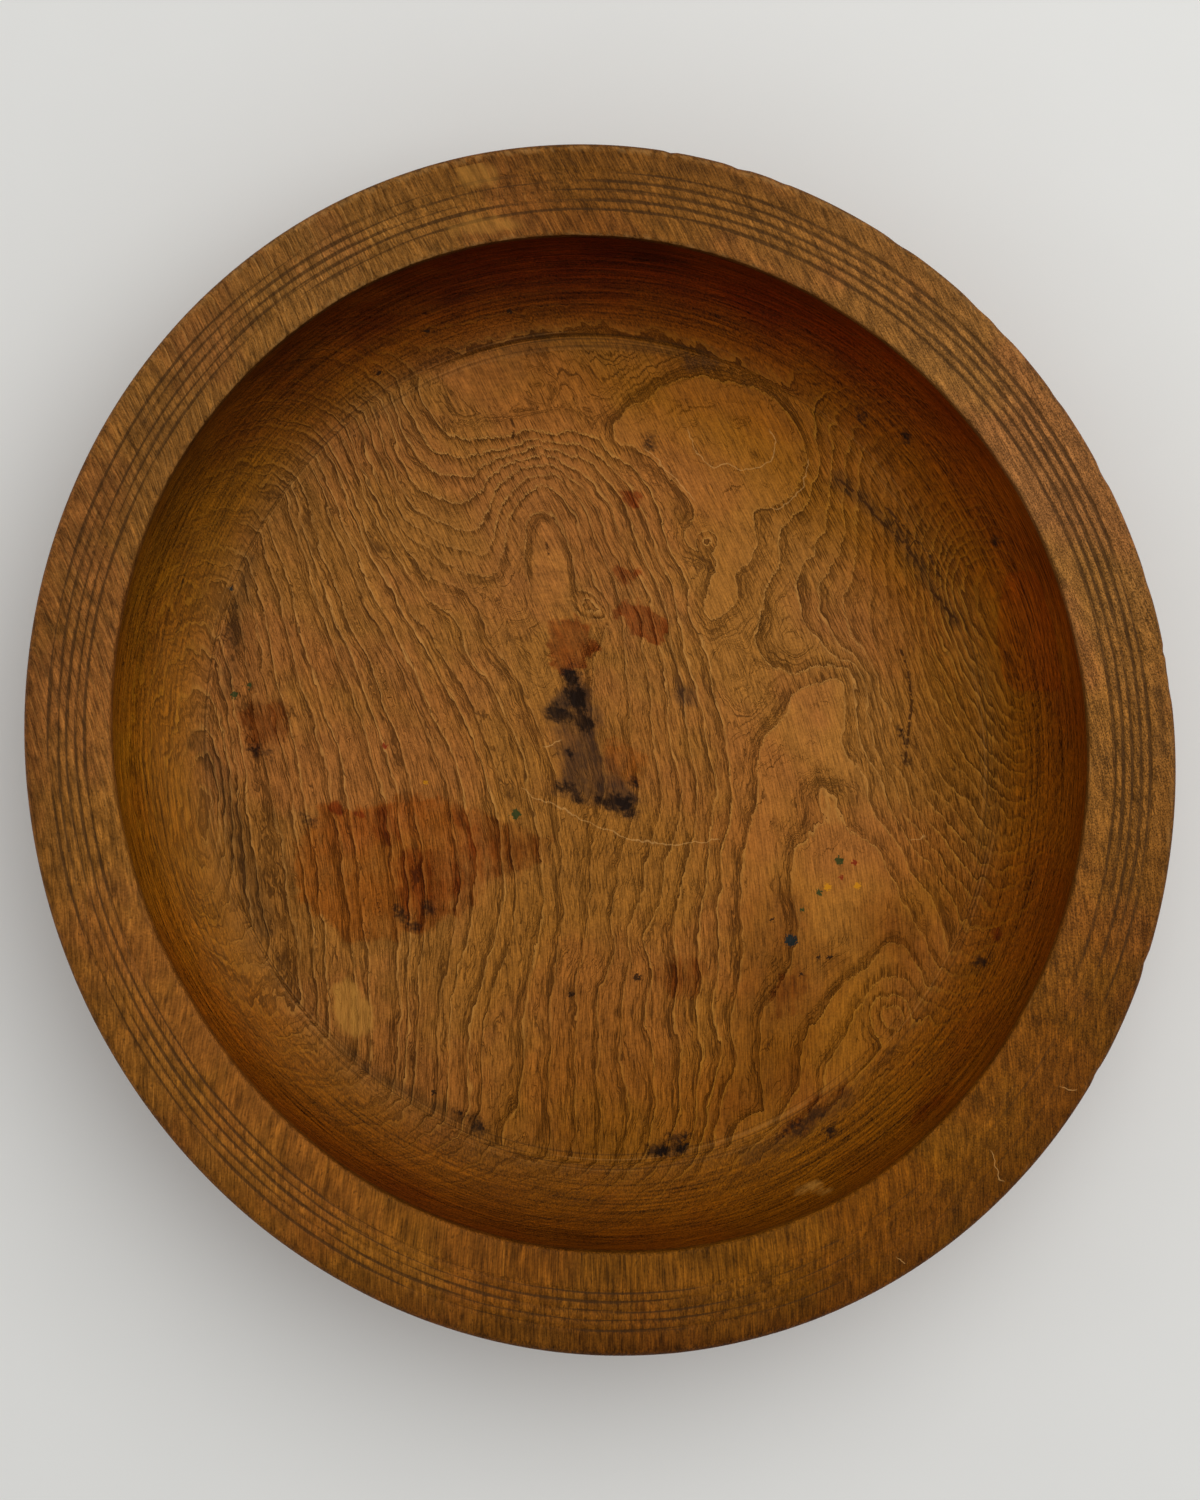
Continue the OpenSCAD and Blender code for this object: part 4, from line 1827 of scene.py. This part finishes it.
@dataclass(frozen=True)
class FigureMarks:
    """What the finish reads of the growth, the fibres, the stains and the fine lines.

    Fades run across the photograph, in pixels to the right or down.
    """

    sight: Sight = Sight()
    fibres: Fibres = Fibres()
    test_step: float = 2.0
    wall_climb: float = 0.7
    most_drift: float = 0.35
    far_from_crease: float = 50.0
    far_from_stain: float = 60.0
    far_from_line: float = 50.0
    line_reach: float = 8.0
    well_within: float = -4.0

    # Close rings at the right, calm islands low down, and lines that stand out
    fine_right: Fade = Fade(800, 900)
    fine_down: Fade = Fade(380, 460)
    fine_up: Fade = Fade(960, 860)
    calm_down: Fade = Fade(500, 650)
    least_calm: float = 0.2
    arches_up: Fade = Fade(600, 500)
    arches_left: Fade = Fade(640, 540)
    right_oval: Fade = Fade(915, 945)
    left_oval: Fade = Fade(240, 210)
    ovals_down: Fade = Fade(470, 510)
    ovals_up: Fade = Fade(940, 880)
    corner_left: Fade = Fade(370, 340)
    corner_down: Fade = Fade(780, 820)
    corner_up: Fade = Fade(1130, 1090)

    def marks(self, turned: Turned, line: SectionLine, bowl: "DoughBowl") -> dict[str, Array]:
        """Work out the marks.

        Args:
            turned: The bowl's points.
            line: The section.
            bowl: The bowl's sizes.

        Returns:
            The values at each point, by the names that the finish reads.
        """
        pixel = self.sight.pixel_inside()
        seen = turned.pixels
        hollow = turned.on(*HOLLOW)
        walk = line.walked()[turned.row] / MM
        crease = walk[turned.on(Zone.FLOOR)].max()
        marks = self.rings(turned, bowl)
        marks.update({
            "walk": walk,
            "crease": np.where(hollow, np.abs(walk - crease), self.far_from_crease),
            "across": self.fibres.across(seen) * pixel,
            "along": -seen[:, 1] * pixel,
            "fine": self.fine(seen) * hollow,
            "calm": np.maximum(self.calm_down(seen[:, 1]), self.least_calm),
            "keen": self.keen(seen) * hollow,
        })
        shown = turned.on(*SHOWN)
        for kind, stains in STAINS.items():
            nearest = np.full(len(seen), self.far_from_stain)
            for stain in stains:
                nearest[shown] = np.minimum(nearest[shown], stain.distance(seen[shown]) * pixel)
            marks[kind.value] = nearest
        for name, paths in (("crack", CRACKS), ("scratch", SCRATCHES)):
            beside, beyond = self.fine_lines(seen, paths)
            marks[name] = np.where(shown, beside, self.far_from_line)
            marks[name + "_end"] = np.where(shown, beyond, self.far_from_line)
        return marks

    def rings(self, turned: Turned, bowl: "DoughBowl") -> dict[str, Array]:
        """Number the rings, and measure how fast the numbers change.

        Args:
            turned: The bowl's points.
            bowl: The bowl's sizes.

        Returns:
            The numbers, their change along the fibres and their whole change, both a millimetre.
        """
        growth = Growth(self.fibres)
        seen = turned.pixels
        hollow = turned.on(*HOLLOW)
        on_wall = turned.on(Zone.WALL)
        rise = np.where(on_wall, turned.height - (bowl.height - bowl.wall_depth), 0)
        drop = bowl.height - turned.height

        def numbers(moved: Array) -> Array:
            """Number the rings at moved pixels.

            Args:
                moved: One pixel for each point.

            Returns:
                The ring numbers.
            """
            rings = growth.outside(moved, drop)
            rings[hollow] = growth.inside(moved[hollow], rise[hollow])
            return rings

        rings = numbers(seen)
        way = self.fibres.direction(seen)
        side = np.stack((way[:, 1], -way[:, 0]), axis=1)
        apart = self.test_step * self.sight.pixel_inside()
        drift = (numbers(seen + way * self.test_step) - rings) / apart
        spread = (numbers(seen + side * self.test_step) - rings) / apart
        climb = np.where(on_wall, growth.rings_per_mm_down * self.wall_climb, 0)
        return {
            "figure": rings,
            "drift": np.clip(drift, -self.most_drift, self.most_drift),
            "slope": np.sqrt(drift ** 2 + spread ** 2 + climb ** 2),
        }

    def fine(self, seen: Array) -> Array:
        """Say where the rings lie so close that no plain late wood shows, from 0 to 1."""
        return self.fine_right(seen[:, 0]) * self.fine_down(seen[:, 1]) * self.fine_up(seen[:, 1])

    def keen(self, seen: Array) -> Array:
        """Say where the growth lines stand out: high on the left of the floor and in the ovals of both walls.

        Args:
            seen: Pixels of the points.

        Returns:
            0 where they are faint to 1 where they are strong.
        """
        right, down = seen.T
        arches = self.arches_up(down) * self.arches_left(right)
        ovals = np.maximum(self.right_oval(right), self.left_oval(right))
        ovals = ovals * self.ovals_down(down) * self.ovals_up(down)
        corner = self.corner_left(right) * self.corner_down(down) * self.corner_up(down)
        return np.maximum(np.maximum(arches, ovals), corner)

    def fine_lines(self, seen: Array, paths: tuple[PixelPath, ...]) -> tuple[Array, Array]:
        """Measure how far points lie to the side of, and past the ends of, the nearest fine line.

        Args:
            seen: Pixels of the points.
            paths: Pixels along each line.

        Returns:
            The signed distance to the side and the distance past the ends, in millimetres.
        """
        pixel = self.sight.pixel_inside()
        nearest = np.full(len(seen), np.inf)
        beside = np.full(len(seen), self.far_from_line)
        beyond = np.full(len(seen), self.far_from_line)
        for path in paths:
            ends = np.array(path, float)
            last = len(ends) - 2
            for index, (start, stop) in enumerate(zip(ends[:-1], ends[1:])):
                length = np.linalg.norm(stop - start)
                way = (stop - start) / length
                ahead = (seen - start) @ way
                side = (seen - start) @ np.array((-way[1], way[0]))
                over = np.maximum(-ahead, ahead - length)
                apart = np.hypot(side, np.maximum(over, 0))
                loose = np.where(ahead < length / 2, index == 0, index == last)
                closer = apart < nearest
                nearest = np.where(closer, apart, nearest)
                beside = np.where(closer, side * pixel, beside)
                beyond = np.where(closer, np.where(loose, over, self.well_within) * pixel, beyond)
        far = nearest * pixel > self.line_reach
        return np.where(far, self.far_from_line, beside), np.where(far, self.far_from_line, beyond)


@dataclass(frozen=True)
class SurfaceWear:
    """How the turned shape has moved and worn, and where its edges carry a painted highlight."""

    # Rings of the rim: how they sway, and how much of them is left by the angle in the photograph, in degrees
    ring_sway: tuple[Wave, ...] = (Wave(0.5 * MM, 3, 1), Wave(0.25 * MM, 7, 0))
    ring_angles: tuple[float, ...] = (0, 30, 70, 95, 120, 150, 175, 200, 250, 275, 300, 330, 360)
    rings_left: tuple[float, ...] = (1.0, 1.0, 0.9, 0.8, 0.8, 0.8, 0.9, 0.85, 0.8, 0.85, 0.5, 0.45, 1.0)

    # The mouth, which is not quite in the middle: how many millimetres it moves out, and what moves with it
    mouth_out: Around = Around((0.2, 1.9, 0.2, 0.2, 2.4, 2.9, 0.2, -3.8, -4.3, -5.5, -2.6, -2.4))
    wall_follows: Course = Course((40, 96), (0, 1))
    rim_follows: float = 8 * MM

    # Low swells of the surface, and the flats that a gouge left outside
    seed: int = 7
    swells: int = 24
    swell_turns: Band = (40, 130)
    swell_start: Band = (0, 6.3)
    swell_height: float = 0.05 * MM
    flat_width: float = 15 * MM
    flat_drift: float = 0.3
    flat_depth: float = 0.2 * MM

    # Edges rubbed bare, and a painted highlight where the lip and the outer edge catch the light, most at the
    # top; and nicks in the outer edge
    rubbed_drop: float = 1.0 * MM
    rubbed_width: float = 1.2 * MM
    # By angle: partly rubbed bare, partly a painted highlight, strongest at the top
    rubbed_and_lit: Around = Around((0.7, 0.7, 0.8, 1.0, 1.0, 0.6, 0.1, 0.0, 0.0, 0.1, 0.4, 0.6))
    nicks: int = 16
    nick_turn: Band = (-0.9, 1.2)
    nick_length: Band = (2, 6)
    nick_depth: Band = (0.2, 0.8)
    nick_drop: float = 0.6
    nick_reach: float = 4 * MM

    def wear(self, turned: Turned, bowl: "DoughBowl") -> tuple[Array, dict[str, Array]]:
        """Cut the rings, move the mouth and wear the surface.

        Args:
            turned: The bowl's points.
            bowl: The bowl's sizes.

        Returns:
            How far each point moves, how deep the rings are there, and how much the edges are rubbed bare and
            lit by a painted highlight.
        """
        rng = np.random.default_rng(self.seed)
        cosine, sine = np.cos(turned.turn), np.sin(turned.turn)
        shift = np.zeros_like(turned.places)
        groove = self.ring_share(turned, bowl)
        shift[:, 2] -= groove * bowl.ring_depth

        moved = self.mouth_out(turned.seen_turn) * MM
        upper = self.wall_follows(turned.height) * turned.on(Zone.WALL) + turned.on(Zone.LIP)
        inner = bowl.across / 2 - bowl.rim_width + bowl.lip_rounding
        follows = np.clip(1 - (turned.radius - inner) / self.rim_follows, 0, 1)
        upper = upper + turned.on(Zone.RIM) * follows
        shift[:, 0] += moved * upper * cosine
        shift[:, 1] += moved * upper * sine * bowl.along / bowl.across

        swell = np.zeros(len(turned.turn))
        for _ in range(self.swells):
            way = rng.normal(size=2)
            way *= rng.uniform(*self.swell_turns) / np.linalg.norm(way)
            swell += np.sin(turned.places[:, :2] @ way + rng.uniform(*self.swell_start))
        shift[:, 2] += swell * self.swell_height * ~turned.on(Zone.FOOT)
        down = np.hypot(turned.radius, turned.height) * FULL_TURN / self.flat_width
        flats = np.sin(down + swell * self.flat_drift) * self.flat_depth * turned.on(Zone.OUTSIDE)
        shift[:, 0] += flats * cosine
        shift[:, 1] += flats * sine

        # Lip and outer edge: partly rubbed bare, partly a painted highlight
        rubbed_and_lit = (turned.height - bowl.height + self.rubbed_drop) / self.rubbed_width
        worn_and_lit = np.exp(-(rubbed_and_lit ** 2)) * turned.on(Zone.LIP, Zone.EDGE) * self.rubbed_and_lit(turned.seen_turn)
        high = turned.height > bowl.height - bowl.edge_rounding - self.nick_reach
        nick = self.nicked(turned, bowl, rng) * (turned.on(Zone.EDGE, Zone.OUTSIDE) & high) * MM
        inward = np.stack((-cosine, -sine, np.full(len(nick), -self.nick_drop)), axis=1)
        shift += inward * nick[:, None]
        shift[:, 2] = np.maximum(shift[:, 2], -turned.places[:, 2])
        return shift, {"groove": groove, "worn_and_lit": worn_and_lit}

    def ring_share(self, turned: Turned, bowl: "DoughBowl") -> Array:
        """Say how deep the rim's rings are cut and how much of them is left.

        Args:
            turned: The bowl's points.
            bowl: The bowl's sizes.

        Returns:
            The share of the full depth at each point.
        """
        sway = sum(wave(turned.turn) for wave in self.ring_sway)
        ring_middle = bowl.across / 2 - bowl.rim_width / 2
        place = (turned.radius - sway - ring_middle) / bowl.ring_pitch + bowl.ring_count / 2
        off = (place - np.floor(place) - 0.5) * bowl.ring_pitch
        within = (place > 0) & (place < bowl.ring_count) & turned.on(Zone.RIM)
        cut = np.clip(1 - (off / (bowl.ring_width / 2)) ** 2, 0, 1) * within
        return cut * np.interp(np.degrees(turned.seen_turn) % 360, self.ring_angles, self.rings_left)

    def nicked(self, turned: Turned, bowl: "DoughBowl", rng: np.random.Generator) -> Array:
        """Say how deep the nicks go, by the angle round the bowl.

        Args:
            turned: The bowl's points.
            bowl: The bowl's sizes.
            rng: Where chance comes from.

        Returns:
            The depth at each point, in millimetres.
        """
        nick = np.zeros(len(turned.turn))
        for angle in rng.uniform(*self.nick_turn, self.nicks):
            length = rng.uniform(*self.nick_length) * MM / (bowl.across / 2)
            depth = rng.uniform(*self.nick_depth)
            apart = np.angle(np.exp(1j * (turned.turn - angle)))
            nick = np.maximum(nick, depth * np.exp(-((apart / length) ** 2)))
        return nick


@dataclass(frozen=True)
class MeshSteps:
    """How finely the section is walked, at most, and the columns that it is turned into."""

    hollow: float = 2.3 * MM
    lip: float = 1.2 * MM
    lip_arc: float = 0.6 * MM
    rim: float = 1.5 * MM
    to_a_ring: int = 6
    edge: float = 1.0 * MM
    side: float = 2.2 * MM
    belly: float = 3.2 * MM
    foot: float = 9 * MM
    columns: int = 528
    outer_columns: int = 264
    fewest_columns: int = 40
    full_beyond: float = 0.36

    def columns_at(self, share: float, zone: Zone) -> int:
        """Choose how many columns a row has, so that its steps stay alike.

        Args:
            share: The row's radius as a share of the rim's.
            zone: The row's surface.

        Returns:
            The number of columns.
        """
        count = self.outer_columns if zone in UNDERSIDE else self.columns
        full = self.full_beyond if zone in (Zone.FLOOR, Zone.FOOT) else 0
        while share < full and count > self.fewest_columns:
            count //= 2
            full /= 2
        return count


@dataclass(frozen=True)
class FlatLayout:
    """How the surface is laid out flat, in shares of the sheet: a large disc and a small one."""

    name: str = "OFBake"
    wall_squeeze: float = 0.7
    upper_size: float = 0.388
    upper_middle: float = 0.395
    lower_size: float = 0.185
    lower_middle: float = 0.81

    def unwrap(self, mesh: bpy.types.Mesh, turned: Turned, line: SectionLine, face_rows: Array) -> None:
        """Lay out the upper side as the large disc and the under side as the small one.

        Args:
            mesh: The mesh.
            turned: The bowl's points.
            line: The section.
            face_rows: Row that each face starts from.
        """
        zones = np.array(line.zones)
        walked = line.walked(np.where(zones == Zone.WALL, self.wall_squeeze, 1.0))
        seam = int(np.flatnonzero(zones == Zone.EDGE)[-1])
        upper = walked / walked[seam] * self.upper_size
        lower = (walked[-1] - walked) / (walked[-1] - walked[seam]) * self.lower_size
        counts = np.zeros(len(mesh.polygons), int)
        mesh.polygons.foreach_get("loop_total", counts)
        on_top = np.repeat(face_rows < seam, counts)
        corners = np.zeros(len(mesh.loops), int)
        mesh.loops.foreach_get("vertex_index", corners)
        row = turned.row[corners]
        turn = turned.turn[corners]
        size = np.where(on_top, upper[row], lower[row])
        middle = np.where(on_top, self.upper_middle, self.lower_middle)
        angle = np.where(on_top, turn, -turn)
        flat = np.stack((middle + size * np.cos(angle), middle + size * np.sin(angle)), axis=1)
        mesh.uv_layers.new(name=self.name).data.foreach_set("uv", flat.astype(np.float32).ravel())


@dataclass
class DoughBowl:
    """The bowl: one block, turned, hollowed and worn."""

    across: float = CAD_BOX[1].x - CAD_BOX[0].x
    along: float = CAD_BOX[1].y - CAD_BOX[0].y
    height: float = CAD_BOX[1].z
    foot_across: float = 330 * MM
    foot_slope: float = math.radians(12)
    rim_width: float = 42 * MM
    rim_thickness: float = 26 * MM
    edge_rounding: float = 5 * MM
    lip_rounding: float = 2 * MM
    ring_count: int = 5
    ring_pitch: float = 4.3 * MM
    ring_width: float = 2.6 * MM
    ring_depth: float = 0.7 * MM
    wall_depth: float = 78 * MM
    floor_dish: float = 3 * MM
    cove_radius: float = 60 * MM
    cove_drop: float = 22 * MM
    undercut: float = 1.5 * MM
    worn_crease: float = 9 * MM
    crease_passes: int = 10
    worn_rim_edge: float = 7 * MM
    rim_edge_passes: int = 3
    fleck_points: int = 3
    steps: MeshSteps = MeshSteps()
    sight: Sight = Sight()
    surface: SurfaceWear = SurfaceWear()
    age: AgeMarks = AgeMarks()
    figure: FigureMarks = FigureMarks()
    layout: FlatLayout = FlatLayout()
    finish: OldWood = OldWood()

    def section(self) -> SectionLine:
        """Walk the half section.

        Returns:
            The points of the section, from the middle of the floor to the middle of the foot.
        """
        rim = self.across / 2
        mouth = rim - self.rim_width
        cove = (mouth + self.undercut - self.cove_radius, self.height - self.cove_drop)
        crease = self.height - self.wall_depth
        crease_radius = cove[0] + math.sqrt(self.cove_radius ** 2 - (cove[1] - crease) ** 2)
        middle = crease - self.floor_dish

        line = SectionLine([0.0], [middle], [Zone.FLOOR])
        count = round(crease_radius / self.steps.hollow)
        for share in np.linspace(0, 1, count + 1)[1:]:
            line.put(crease_radius * share, middle + self.floor_dish * share ** 2, Zone.FLOOR)
        start = math.atan2(crease - cove[1], crease_radius - cove[0])
        top = math.acos((mouth - cove[0]) / self.cove_radius)
        line.arc(cove, self.cove_radius, (start, top), self.steps.hollow, Zone.WALL)
        line.straight(mouth, self.height - self.lip_rounding, self.steps.lip, Zone.LIP)
        lip = (mouth + self.lip_rounding, self.height - self.lip_rounding)
        line.arc(lip, self.lip_rounding, (math.pi, math.pi / 2), self.steps.lip_arc, Zone.LIP)

        band = self.ring_count * self.ring_pitch / 2
        ring_middle = rim - self.rim_width / 2
        line.straight(ring_middle - band, self.height, self.steps.rim, Zone.RIM)
        line.straight(ring_middle + band, self.height, self.ring_pitch / self.steps.to_a_ring, Zone.RIM)
        line.straight(rim - self.edge_rounding, self.height, self.steps.rim, Zone.RIM)
        edge = (rim - self.edge_rounding, self.height - self.edge_rounding)
        line.arc(edge, self.edge_rounding, (math.pi / 2, 0), self.steps.edge, Zone.EDGE)
        edge_bottom = self.height - self.rim_thickness
        line.straight(rim, edge_bottom, self.steps.side, Zone.OUTSIDE)

        foot = self.foot_across / 2
        reach = rim - foot
        chord = math.hypot(reach, edge_bottom)
        belly = chord / 2 / math.sin(math.atan2(edge_bottom, reach) - self.foot_slope)
        centre = (foot - belly * math.sin(self.foot_slope), belly * math.cos(self.foot_slope))
        upper = math.atan2(edge_bottom - centre[1], rim - centre[0])
        line.arc(centre, belly, (upper, self.foot_slope - math.pi / 2), self.steps.belly, Zone.OUTSIDE)
        line.straight(0, 0, self.steps.foot, Zone.FOOT)
        line.soften(crease_radius, crease, self.worn_crease, self.crease_passes)
        line.soften(rim, edge_bottom, self.worn_rim_edge, self.rim_edge_passes)
        return line

    def turn_round(self, line: SectionLine) -> tuple[Turned, list[tuple[int, int]]]:
        """Turn the section round, and draw it out to the oval.

        Args:
            line: The section.

        Returns:
            The points, and the first point and number of points of each row.
        """
        rows = []
        places = []
        turns = []
        first = 0
        stretch = self.along / self.across
        for radius, height, zone in zip(line.radii, line.heights, line.zones):
            count = self.steps.columns_at(radius / (self.across / 2), zone) if radius > 0 else 1
            turn = np.arange(count) * FULL_TURN / count
            level = np.full(count, height)
            places.append(np.stack((radius * np.cos(turn), radius * stretch * np.sin(turn), level), axis=1))
            turns.append(turn)
            rows.append((first, count))
            first += count
        points = np.concatenate(places)
        turn = np.concatenate(turns)
        row = np.repeat(np.arange(len(rows)), [count for _, count in rows])
        turned = Turned(
            places=points,
            row=row,
            turn=turn,
            radius=np.array(line.radii)[row],
            height=np.array(line.heights)[row],
            zone=np.array(line.zones)[row],
            pixels=self.sight.pixels(points),
            seen_turn=turn + self.sight.lean,
        )
        return turned, rows

    def build(self) -> bpy.types.Object:
        """Turn the bowl, wear it and give it what the finish reads.

        Returns:
            The bowl.
        """
        line = self.section()
        turned, rows = self.turn_round(line)
        faces, face_rows = self.weave(rows)
        shift, marks = self.surface.wear(turned, self)
        marks.update(self.age.marks(turned, self))
        marks.update(self.figure.marks(turned, line, self))
        mesh = bpy.data.meshes.new("bowl_wood")
        mesh.from_pydata((turned.places + shift).tolist(), [], faces)
        mesh.polygons.foreach_set("use_smooth", np.ones(len(faces), bool))
        for name, values in marks.items():
            mesh.attributes.new(name, "FLOAT", "POINT").data.foreach_set("value", values.astype(np.float32))
        self.layout.unwrap(mesh, turned, line, np.array(face_rows))
        mesh.update()
        bowl = bpy.data.objects.new("bowl_wood", mesh)
        bpy.context.collection.objects.link(bowl)
        return bowl

    def weave(self, rows: list[tuple[int, int]]) -> tuple[list[tuple[int, ...]], list[int]]:
        """Join each row of points to the next, which has as many, twice or half as many, or only one.

        Args:
            rows: First point and number of points of each row.

        Returns:
            The faces, and the row that each starts from.
        """
        faces: list[tuple[int, ...]] = []
        owners: list[int] = []
        for row, ((first, count), (second, onward)) in enumerate(zip(rows[:-1], rows[1:])):
            start = len(faces)
            few = min(count, onward)
            for k in range(max(count, onward) if few == 1 else few):
                here, there = first + k, second + k
                here_next, there_next = first + (k + 1) % count, second + (k + 1) % onward
                if count == 1:
                    faces.append((first, there, there_next))
                elif onward == 1:
                    faces.append((here, second, here_next))
                elif count == onward:
                    faces.append((here, there, there_next, here_next))
                elif onward > count:
                    near, mid, far = (second + (2 * k + step) % onward for step in range(3))
                    faces.extend(((here, near, mid), (here, mid, here_next), (here_next, mid, far)))
                else:
                    near, mid, far = (first + (2 * k + step) % count for step in range(3))
                    faces.extend(((near, there, mid), (mid, there, there_next), (mid, there_next, far)))
            owners.extend([row] * (len(faces) - start))
        return faces, owners

    def dress(self, bowl: bpy.types.Object) -> None:
        """Give the bowl its finish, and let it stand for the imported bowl.

        Args:
            bowl: The bowl.
        """
        pixel = self.sight.pixel_inside()
        points = np.array([corner.co for corner in bowl.data.vertices])
        points = points[points[:, 2] > self.height - self.wall_depth - self.floor_dish - MM]
        seen = self.sight.pixels(points)
        placed: dict[FleckKind, list[PlacedFleck]] = {}
        for kind, flecks in FLECKS.items():
            placed[kind] = []
            for fleck in flecks:
                nearest = np.argsort(np.linalg.norm(seen - np.array(fleck.pixel), axis=1))[:self.fleck_points]
                placed[kind].append(PlacedFleck(points[nearest].mean(axis=0), fleck.size / 2 * pixel))
        bowl.data.materials.append(self.finish.material(placed))
        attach(bowl, "root")
        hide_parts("bowl")


@dataclass(frozen=True)
class PaleGround:
    """Matt pale ground under the bowl."""

    colour: Colour = tone(226, 226, 223)
    mottle: float = 0.03
    mottle_scale: float = 14.0
    mottle_detail: float = 4
    roughness: float = 0.9

    def material(self) -> bpy.types.Material:
        """Make the material.

        Returns:
            The material.
        """
        bench = NodeBench("pale_ground")
        place = bench.add("ShaderNodeNewGeometry", {}, {}, "Position")
        light = 1 + bench.uneven(place, self.mottle_scale, self.mottle_detail) * self.mottle
        return bench.coat(Base_Color=bench.brighten(self.colour, light), Roughness=self.roughness)


@dataclass
class Studio:
    """The ground, the soft lights and the camera."""

    sight: Sight = Sight()
    ground_size: float = 12.0
    sky: Colour = (1.0, 1.0, 1.0)
    sky_strength: float = 0.62
    key_bearing: float = math.radians(44)
    key_height: float = math.radians(60)
    key_distance: float = 2.4
    key_size: float = 2.6
    key_power: float = 27.5

    def build(self) -> None:
        """Set up the studio."""
        half = self.ground_size / 2
        corners = [(-half, -half, 0), (half, -half, 0), (half, half, 0), (-half, half, 0)]
        mesh = bpy.data.meshes.new("ground")
        mesh.from_pydata(corners, [], [(0, 1, 2, 3)])
        mesh.materials.append(PaleGround().material())
        ground = bpy.data.objects.new("ground", mesh)
        bpy.context.collection.objects.link(ground)

        world = bpy.data.worlds.new("soft_sky")
        world.use_nodes = True
        backdrop = world.node_tree.nodes["Background"]
        backdrop.inputs["Color"].default_value = (*self.sky, 1)
        backdrop.inputs["Strength"].default_value = self.sky_strength
        bpy.context.scene.world = world

        lamp = bpy.data.lights.new("key", "AREA")
        lamp.shape = "DISK"
        lamp.size = self.key_size
        lamp.energy = self.key_power
        key = bpy.data.objects.new("key", lamp)
        bearing = self.key_bearing - self.sight.lean
        level = self.key_distance * math.cos(self.key_height)
        key.location = (
            level * math.cos(bearing),
            level * math.sin(bearing),
            self.key_distance * math.sin(self.key_height),
        )
        key.rotation_euler = (-key.location).to_track_quat("-Z", "Y").to_euler()
        bpy.context.collection.objects.link(key)

        scene = bpy.context.scene
        scene.camera = self.sight.camera()
        scene.view_settings.view_transform = "Standard"


def main() -> None:
    """Build the studio and the bowl, and log the bowl's points and faces."""
    logging.basicConfig(level=logging.INFO, format="%(name)s: %(message)s")
    Studio().build()
    LOG.info("studio ready")
    maker = DoughBowl()
    bowl = maker.build()
    maker.dress(bowl)
    LOG.info("bowl: %d points, %d faces", len(bowl.data.vertices), len(bowl.data.polygons))


if __name__ == "__main__":
    main()
